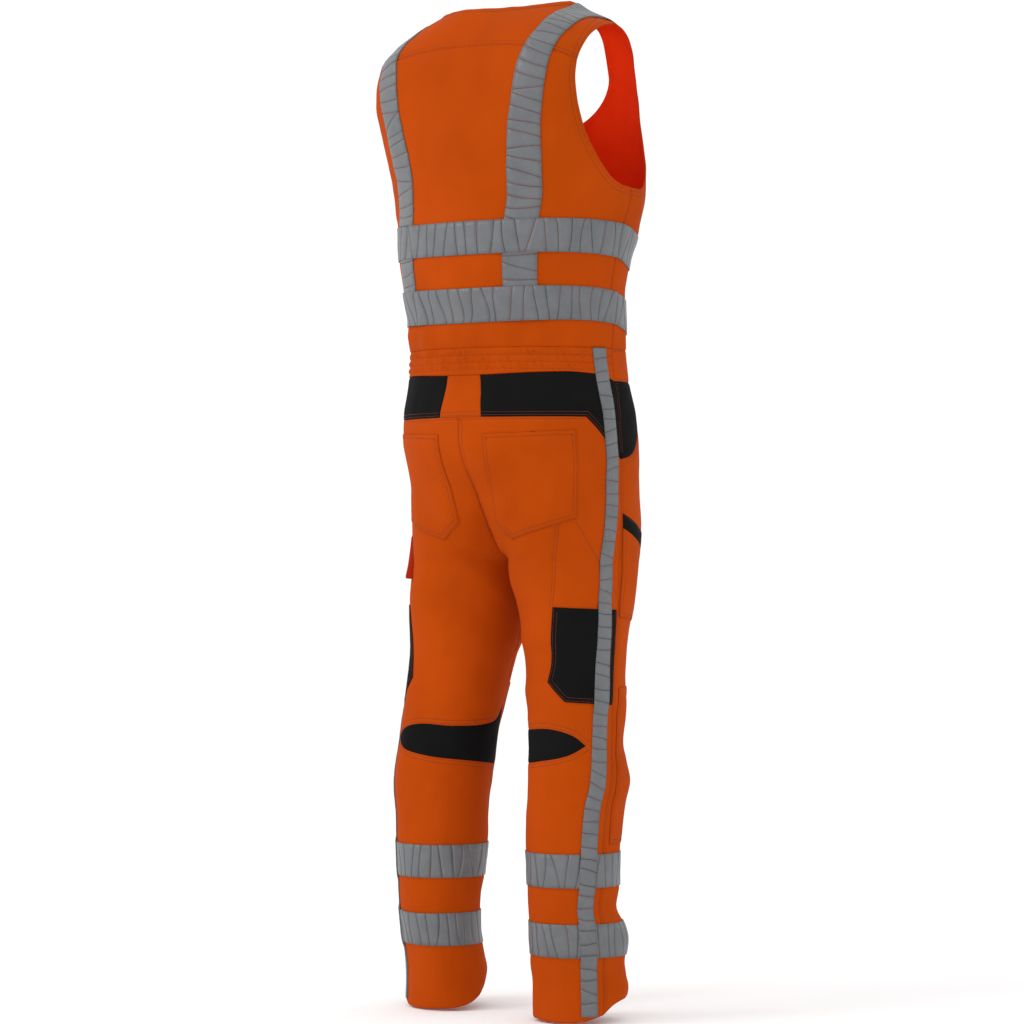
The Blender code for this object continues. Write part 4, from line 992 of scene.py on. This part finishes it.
# Down each outseam: distance in metres from the side seam, below 0 towards the back, and height.
SIDE_FILM_LINE = [(-0.027, WAIST_SEAM), (-0.026, 0.955), (-0.020, 0.870), (-0.020, 0.778), (-0.028, 0.685),
                  (-0.030, 0.616), (-0.024, 0.478), (-0.023, 0.008)]


def bead_film_finish():
    """Grey glass bead film: a satin face with fine grain and faint scuffs."""
    finish, tree, shader = start_finish("segmented_bead_film", roughness=0.42)
    place = add_node(tree, "TexCoord").outputs["Object"]
    beads = add_node(tree, "TexVoronoi", {"Vector": place, "Scale": 900.0})
    scuffs = add_node(tree, "TexNoise", {"Vector": place, "Scale": 38.0, "Detail": 5.0, "Roughness": 0.6})
    fine = add_node(tree, "Math", {0: beads.outputs["Distance"], 1: 0.2}, operation="MULTIPLY")
    mixed = add_node(tree, "Math", {0: scuffs.outputs["Fac"], 1: fine.outputs["Value"]}, operation="ADD")
    greys = ((0.35, "#5b5d60"), (0.60, "#626467"), (0.85, "#696b6e"))
    shade = colour_ramp(tree, mixed.outputs["Value"], greys)
    tree.links.new(shade, shader.inputs["Base Color"])
    gloss = add_node(tree, "MapRange", {"Value": scuffs.outputs["Fac"], "To Min": 0.36, "To Max": 0.52})
    tree.links.new(gloss.outputs["Result"], shader.inputs["Roughness"])
    bump = add_node(tree, "Bump", {"Height": beads.outputs["Distance"], "Strength": 0.3, "Distance": 0.0001})
    tree.links.new(bump.outputs["Normal"], shader.inputs["Normal"])
    return finish


def carrier_finish(name, stops):
    """Between the segments: the film's carrier, and in some gaps the orange under it in painted shade."""
    finish, tree, shader = start_finish(name, roughness=0.7)
    place = add_node(tree, "TexCoord").outputs["Object"]
    patches = add_node(tree, "TexNoise", {"Vector": place, "Scale": 26.0, "Detail": 1.0})
    shade = colour_ramp(tree, patches.outputs["Fac"], stops)
    tree.links.new(shade, shader.inputs["Base Color"])
    grain = add_node(tree, "TexNoise", {"Vector": place, "Scale": 700.0})
    bump = add_node(tree, "Bump", {"Height": grain.outputs["Fac"], "Strength": 0.3, "Distance": 0.0001})
    tree.links.new(bump.outputs["Normal"], shader.inputs["Normal"])
    return finish


bead_film = bead_film_finish()
# On orange the gaps are painted shade: the orange cloth as it looks down the narrow gaps.
carrier_on_orange_painted_shade = carrier_finish("film_carrier_on_orange_painted_shade", ((0.38, "#6a3a30"), (0.60, "#8c3c28")))
carrier_on_black = carrier_finish("film_carrier_on_black", ((0.40, "#2c2c2d"), (0.60, "#3a3838")))
# On the bands the grey is the carrier's own colour, and the reddish stops are painted shade of the orange
# under the gaps.
carrier_of_bands_with_painted_shade = carrier_finish("film_carrier_of_bands_with_painted_shade",
                                  ((0.46, "#343435"), (0.52, "#4a3630"), (0.60, "#853a28")))


def even_line(line, count):
    """Points at even distances along a line of flat places."""
    curve = rounded(to_chart(line), 0.004, closed=False)
    travelled = travel(curve)
    spots = np.linspace(0, travelled[-1], count)
    return np.stack([np.interp(spots, travelled, curve[:, i]) for i in (0, 1)], axis=1), travelled[-1]


DRIFT_COST = 0.35                          # keeps matched places near each other along the strip
SMOOTH_REACH = 12                          # samples on either side that even out a match


def matched(first, second, one_side):
    """For each place of the first edge, the place of the second that lies straight across it."""
    no_lift = np.zeros(len(first))
    here = laid(first, one_side, no_lift, relief=0.0)
    there = laid(second, one_side, no_lift, relief=0.0)
    spacing = np.linalg.norm(np.diff(here, axis=0), axis=1).mean()
    order = np.arange(len(first))
    drift = DRIFT_COST * spacing * (order[:, None] - order[None])
    gaps = ((here[:, None] - there[None]) ** 2).sum(axis=2) + drift ** 2
    nearest = gaps.argmin(axis=1).astype(float)
    nearest[0], nearest[-1] = 0.0, len(second) - 1.0
    nearest = np.minimum(np.maximum.accumulate(nearest), len(second) - 1.0)
    before = 2 * nearest[0] - nearest[SMOOTH_REACH:0:-1]
    after = 2 * nearest[-1] - nearest[-2:-SMOOTH_REACH - 2:-1]
    window = np.ones(2 * SMOOTH_REACH + 1) / (2 * SMOOTH_REACH + 1)
    even = np.convolve(np.concatenate((before, nearest, after)), window, mode="valid")
    return np.stack([np.interp(even, np.arange(len(second)), second[:, i]) for i in (0, 1)], axis=1)


def segment_cuts(length, width):
    """Ends of the segments as (share along, tilt, bow), all uneven as pressed film has them."""
    count = max(1, round(length / SEGMENT))
    cuts = [(0.0, 0.0, 0.0)]
    for index in range(1, count):
        drift = chance.uniform(-0.14, 0.14)
        tilt = chance.uniform(-0.10, 0.10) if chance.random() < 0.7 else chance.uniform(-0.22, 0.22)
        bow = chance.uniform(-0.05, 0.05)
        cuts.append(((index + drift) / count, tilt * width / length, bow * width / length))
    return cuts + [(1.0, 0.0, 0.0)]


def film_strip(name, edges, one_side=0, over=(), backing=None):
    """A strip of film between two edge lines: its carrier, and the segments pressed on it.

    Backing says for each place which carrier lies there: on orange, on black or of the bands.
    """
    samples = 400
    (first, length), (second, _) = (even_line(edge, samples) for edge in edges)
    second = matched(first, second, one_side)
    shares = np.linspace(0, 1, samples)

    def spot(along, across):
        a, b = (np.stack([np.interp(along, shares, edge[:, i]) for i in (0, 1)], axis=1)
                for edge in (first, second))
        return a + (b - a) * across[:, None]

    steps = max(2, round(length / 0.006))
    width = float(np.median(np.linalg.norm(second - first, axis=1)))
    rows = max(2, round(width / 0.007))
    along, across = np.meshgrid(np.linspace(0, 1, steps + 1), np.linspace(0, 1, rows + 1))
    places = spot(along.ravel(), across.ravel())
    grid = np.arange((steps + 1) * (rows + 1)).reshape(rows + 1, steps + 1)
    faces = grid_faces(grid)
    forward, sideways = places[1] - places[0], places[steps + 1] - places[0]
    faces_inwards = forward[0] * sideways[1] - forward[1] * sideways[0] > 0
    if faces_inwards:
        faces = faces[:, ::-1]
    points = laid(places, one_side, PATCH_TOP + raised(places, over))
    finishes = (carrier_on_orange_painted_shade, bead_film, carrier_on_black, bead_film, carrier_of_bands_with_painted_shade, bead_film)
    strip = mesh_object(name + "_carrier", points, faces, finishes, places)
    kinds = backing(places[faces].mean(axis=1)) * 2
    strip.data.polygons.foreach_set("material_index", kinds.astype(np.int32))
    give_wall(strip, CLOTH).material_offset_rim = 1

    cuts = segment_cuts(length, width)
    u, v = np.meshgrid(np.linspace(0, 1, 5), np.linspace(0, 1, rows + 1))
    u, v = u.ravel(), v.ravel()
    pillow = 0.00010 * (1 - (2 * u - 1) ** 6)
    small = np.arange(5 * (rows + 1)).reshape(rows + 1, 5)
    gap = SEGMENT_GAP / 2 / length
    all_points, all_faces = [], []
    for (start, start_tilt, start_bow), (end, end_tilt, end_bow) in zip(cuts, cuts[1:]):
        low = start + start_tilt * (2 * v - 1) + start_bow * (1 - (2 * v - 1) ** 2) + gap * (start > 0)
        high = end + end_tilt * (2 * v - 1) + end_bow * (1 - (2 * v - 1) ** 2) - gap * (end < 1)
        flat = spot(np.clip(low + (high - low) * u, 0, 1), v)
        quads = grid_faces(small + len(all_points) * small.size)
        all_points.append(laid(flat, one_side, PATCH_TOP + raised(flat, over) + SEGMENT_RISE + pillow))
        all_faces.append(quads[:, ::-1] if faces_inwards else quads)
    segments = mesh_object(name + "_segments", np.concatenate(all_points), np.concatenate(all_faces),
                           (bead_film,))
    skin = segments.modifiers.new("film", "SOLIDIFY")
    skin.thickness = 0.00012
    skin.offset = -1.0
    for piece in (strip, segments):
        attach(piece, "garment")
    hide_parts(name)
    bare = laid(places, one_side, np.zeros(len(places)), relief=0.0)


ON_ORANGE, ON_BLACK, OF_BANDS = 0, 1, 2


def behind_brace(places):
    return np.where(places[:, 1] > 1.452, ON_BLACK, ON_ORANGE)


def behind_side_film(places):
    height = places[:, 1]
    dark = (height > HIP_POINT + 0.010) & (height < BAND_BOTTOM)
    for low, high in [(bottom, bottom + WIDE_FILM) for bottom in LEG_BANDS] + [RULER_SPAN]:
        dark |= (height > low) & (height < high)
    return np.where(dark, ON_BLACK, ON_ORANGE)


def behind_band(places):
    return np.full(len(places), OF_BANDS)


for side, word in ((1, "left"), (-1, "right")):
    turned = (lambda line: line) if side > 0 else mirrored
    film_strip("brace_" + word, (turned(BRACE_INNER), turned(BRACE_OUTER)),
               one_side=side, backing=behind_brace)
band_over = [("around", 0.138, 0.256), ("around", 0.730, 0.862)]
band_over += [(way, -high, -low) for way, low, high in band_over]
band_half = [(0.0, 0.0), (0.5, 0.0), (0.62, -BAND_FALL), (FRONT_EDGE - 0.004, -BAND_FALL)]
for name, bottom in zip(("body_band_lower", "body_band_upper"), BODY_BANDS):
    half = [(around, bottom + fall) for around, fall in band_half]
    lower = mirrored(half[:0:-1]) + half
    upper = [(around, height + WIDE_FILM) for around, height in lower]
    film_strip(name, (lower, upper),
               over=band_over, backing=behind_band)
crossed = [("height", bottom - 0.002, bottom + WIDE_FILM + 0.002) for bottom in LEG_BANDS]
crossed.append(("height", *RULER_SPAN))
for side, word in ((1, "left"), (-1, "right")):
    turned = (lambda line: line) if side > 0 else mirrored
    for name, bottom in zip(("leg_band_lower_", "leg_band_upper_"), LEG_BANDS):
        edges = [turned([(share, height) for share in (0.0, 0.25, 0.5, 0.75, 1.0)])
                 for height in (bottom, bottom + WIDE_FILM)]
        film_strip(name + word, edges, one_side=side,
                   backing=behind_band)
    side_edges = [turned(down_the_side(SIDE_FILM_LINE, offset)) for offset in (-SIDE_FILM / 2, SIDE_FILM / 2)]
    film_strip("side_tape_" + word, side_edges,
               one_side=side, over=crossed,
               backing=behind_side_film)

# ---------------------------------------------------------------------------------------------
# Front zip: woven tapes under the two fronts with a moulded tooth every 2.6 mm on each, a metal
# slider near the neck and its hinged pull tab, both plain nickel plated zinc.
# ---------------------------------------------------------------------------------------------
ZIP_TOP = 1.350
TOOTH_PITCH = 0.0026
TOOTH_ROOT = 0.0034                        # how far a tooth reaches onto its own tape
TOOTH_TIP = -0.0009                        # and past the middle, between its neighbours
TOOTH_HEIGHT = 0.0011


def zip_weave_finish():
    """Black polyester zip tape, a plain weave of fine ribs that run along it."""
    rib_pitch = 0.0012
    finish, tree, shader = start_finish("black_zip_weave", roughness=0.8)
    chart = add_node(tree, "UVMap", uv_map="chart").outputs["UV"]
    ribs = add_node(tree, "TexWave", {
        "Vector": chart, "Scale": 1 / rib_pitch / WAVE_TO_PITCH, "Distortion": 0.3})
    shade = colour_ramp(tree, ribs.outputs["Fac"], ((0.0, "#101010"), (1.0, "#1c1c1c")))
    tree.links.new(shade, shader.inputs["Base Color"])
    bump = add_node(tree, "Bump", {"Height": ribs.outputs["Fac"], "Strength": 0.4, "Distance": 0.0002})
    tree.links.new(bump.outputs["Normal"], shader.inputs["Normal"])
    return finish


def nickel_finish():
    """Nickel plate on zinc, with a fine brushed grain and handling marks."""
    finish, tree, shader = start_finish("nickel_plated_zinc", roughness=0.3, metallic=1.0)
    place = add_node(tree, "TexCoord").outputs["Object"]
    marks = add_node(tree, "TexNoise", {"Vector": place, "Scale": 420.0, "Detail": 4.0})
    shade = colour_ramp(tree, marks.outputs["Fac"], ((0.3, "#a9a9a8"), (0.7, "#c2c1bf")))
    tree.links.new(shade, shader.inputs["Base Color"])
    gloss = add_node(tree, "MapRange", {"Value": marks.outputs["Fac"], "To Min": 0.22, "To Max": 0.42})
    tree.links.new(gloss.outputs["Result"], shader.inputs["Roughness"])
    bump = add_node(tree, "Bump", {"Height": marks.outputs["Fac"], "Strength": 0.2, "Distance": 0.00005})
    tree.links.new(bump.outputs["Normal"], shader.inputs["Normal"])
    return finish


zip_weave = zip_weave_finish()
nickel = nickel_finish()
ZIP_LAYER = -CLOTH - LAYER_GAP
ZIP_CLOTH = ((zip_weave,), "zip_tape", None)
for side, word in ((1, "left"), (-1, "right")):
    outline = [(0.974, FLY_BOTTOM + 0.003), (1.0, FLY_BOTTOM + 0.003), (1.0, ZIP_TOP), (0.974, ZIP_TOP)]
    outline = outline if side > 0 else mirrored(outline)
    sewn_piece("zip_" + word, outline, ZIP_CLOTH, "laid", ["front_" + word], one_side=side,
               layer=ZIP_LAYER, thickness=0.0008, cell=0.006, groove=0.0)

tooth_rings = ((TOOTH_ROOT, 0.00055), (0.0010, 0.00055), (-0.0002, 0.00085), (TOOTH_TIP, 0.00040))
tooth_points, tooth_faces = [], []
tooth_count = int((ZIP_TOP - FLY_BOTTOM - 0.010) / TOOTH_PITCH)
for index in range(tooth_count * 2):
    side = 1.0 if index % 2 else -1.0
    height = FLY_BOTTOM + 0.006 + (index + 0.5) * TOOTH_PITCH / 2
    base = len(tooth_points)
    for reach, half in tooth_rings:
        for share, lift in ((-1.0, 0.0), (-0.7, TOOTH_HEIGHT), (0.7, TOOTH_HEIGHT), (1.0, 0.0)):
            tooth_points.append((side, 1.0 - reach / CHART_WIDTH, height + half * share, ZIP_LAYER + lift))
    quads = [(base + ring + i, base + ring + (i + 1) % 4, base + ring + 4 + (i + 1) % 4, base + ring + 4 + i)
             for ring in (0, 4, 8) for i in range(4)]
    quads += [(base, base + 3, base + 2, base + 1), (base + 12, base + 13, base + 14, base + 15)]
    tooth_faces += [quad if side < 0 else quad[::-1] for quad in quads]
tooth_table = np.array(tooth_points)
tooth_places = place_on_form(*tooth_table.T)
black_moulding, tree, shader = start_finish("moulded_black_teeth", roughness=0.4)
place = add_node(tree, "TexCoord").outputs["Object"]
grain = add_node(tree, "TexNoise", {"Vector": place, "Scale": 800.0})
shade = colour_ramp(tree, grain.outputs["Fac"], ((0.3, "#151515"), (0.7, "#222222")))
tree.links.new(shade, shader.inputs["Base Color"])
teeth = mesh_object("zip_teeth", tooth_places, np.array(tooth_faces), (black_moulding,))
teeth.data.set_sharp_from_angle(angle=math.radians(40))
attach(teeth, "garment")

for node in ("zip_slider", "pull_tab"):
    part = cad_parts[node]
    part.data.materials.clear()
    part.data.materials.append(nickel)
    rounding = part.modifiers.new("rounded_edges", "BEVEL")
    rounding.width = 0.0003
    rounding.segments = 2
    rounding.limit_method = "ANGLE"

# ---------------------------------------------------------------------------------------------
# Studio: a plain pale floor just under the hems, even white surroundings and one large soft light.
# ---------------------------------------------------------------------------------------------
world = bpy.data.worlds.new("white_surround")
bpy.context.scene.world = world
world.use_nodes = True
world.node_tree.nodes["Background"].inputs["Color"].default_value = (1.0, 1.0, 1.0, 1.0)
world.node_tree.nodes["Background"].inputs["Strength"].default_value = 1.05
bpy.context.scene.view_settings.view_transform = "Standard"

FLOOR_GAP = 0.004                          # between the lowest hem and the floor
floor_finish, _, floor_shader = start_finish("pale_studio_floor", roughness=0.9)
floor_shader.inputs["Base Color"].default_value = (0.97, 0.97, 0.97, 1.0)
bpy.ops.mesh.primitive_plane_add(size=60, location=(0.0, 0.0, -float(SHOULDERS[2]) - FLOOR_GAP))
floor = bpy.context.object
floor.name = "studio_floor"
floor.data.materials.append(floor_finish)

LIGHT_PLACE = Vector((2.2, 3.6, 2.6))
LIGHT_TARGET = Vector((0.0, 0.0, -0.4))
light = bpy.data.lights.new("key", "AREA")
light.shape = "SQUARE"
light.size = 2.2
light.energy = 78
holder = bpy.data.objects.new("key", light)
holder.location = LIGHT_PLACE
holder.rotation_euler = (LIGHT_TARGET - LIGHT_PLACE).to_track_quat("-Z", "Y").to_euler()
bpy.context.scene.collection.objects.link(holder)

# ---------------------------------------------------------------------------------------------
# Camera: behind the garment and to its right, almost level, with a long lens.
# ---------------------------------------------------------------------------------------------
CAMERA_TURN = math.radians(37.44)
CAMERA_PITCH = math.radians(0.55)
CAMERA_ROLL = math.radians(0.14)
CAMERA_DISTANCE = 5.08
CAMERA_HEIGHT = 0.709
CAMERA_LENS = 117.2                        # millimetres, on a sensor 36 mm wide

ahead = Vector((math.sin(CAMERA_TURN), -math.cos(CAMERA_TURN), 0.0))
forward = ahead * math.cos(CAMERA_PITCH) + Vector((0.0, 0.0, math.sin(CAMERA_PITCH)))
level = forward.cross(Vector((0.0, 0.0, 1.0))).normalized()
right = level * math.cos(CAMERA_ROLL) + level.cross(forward) * math.sin(CAMERA_ROLL)
turn = Matrix((right, right.cross(forward), -forward)).transposed()
place = Vector((0.0, -float(SHOULDERS[1]), CAMERA_HEIGHT - float(SHOULDERS[2]))) - ahead * CAMERA_DISTANCE
camera = bpy.data.objects.new("photo_camera", bpy.data.cameras.new("photo_camera"))
bpy.context.scene.collection.objects.link(camera)
bpy.context.scene.camera = camera
camera.data.lens = CAMERA_LENS
camera.data.sensor_width = 36.0
camera.matrix_world = Matrix.Translation(place) @ turn.to_4x4()
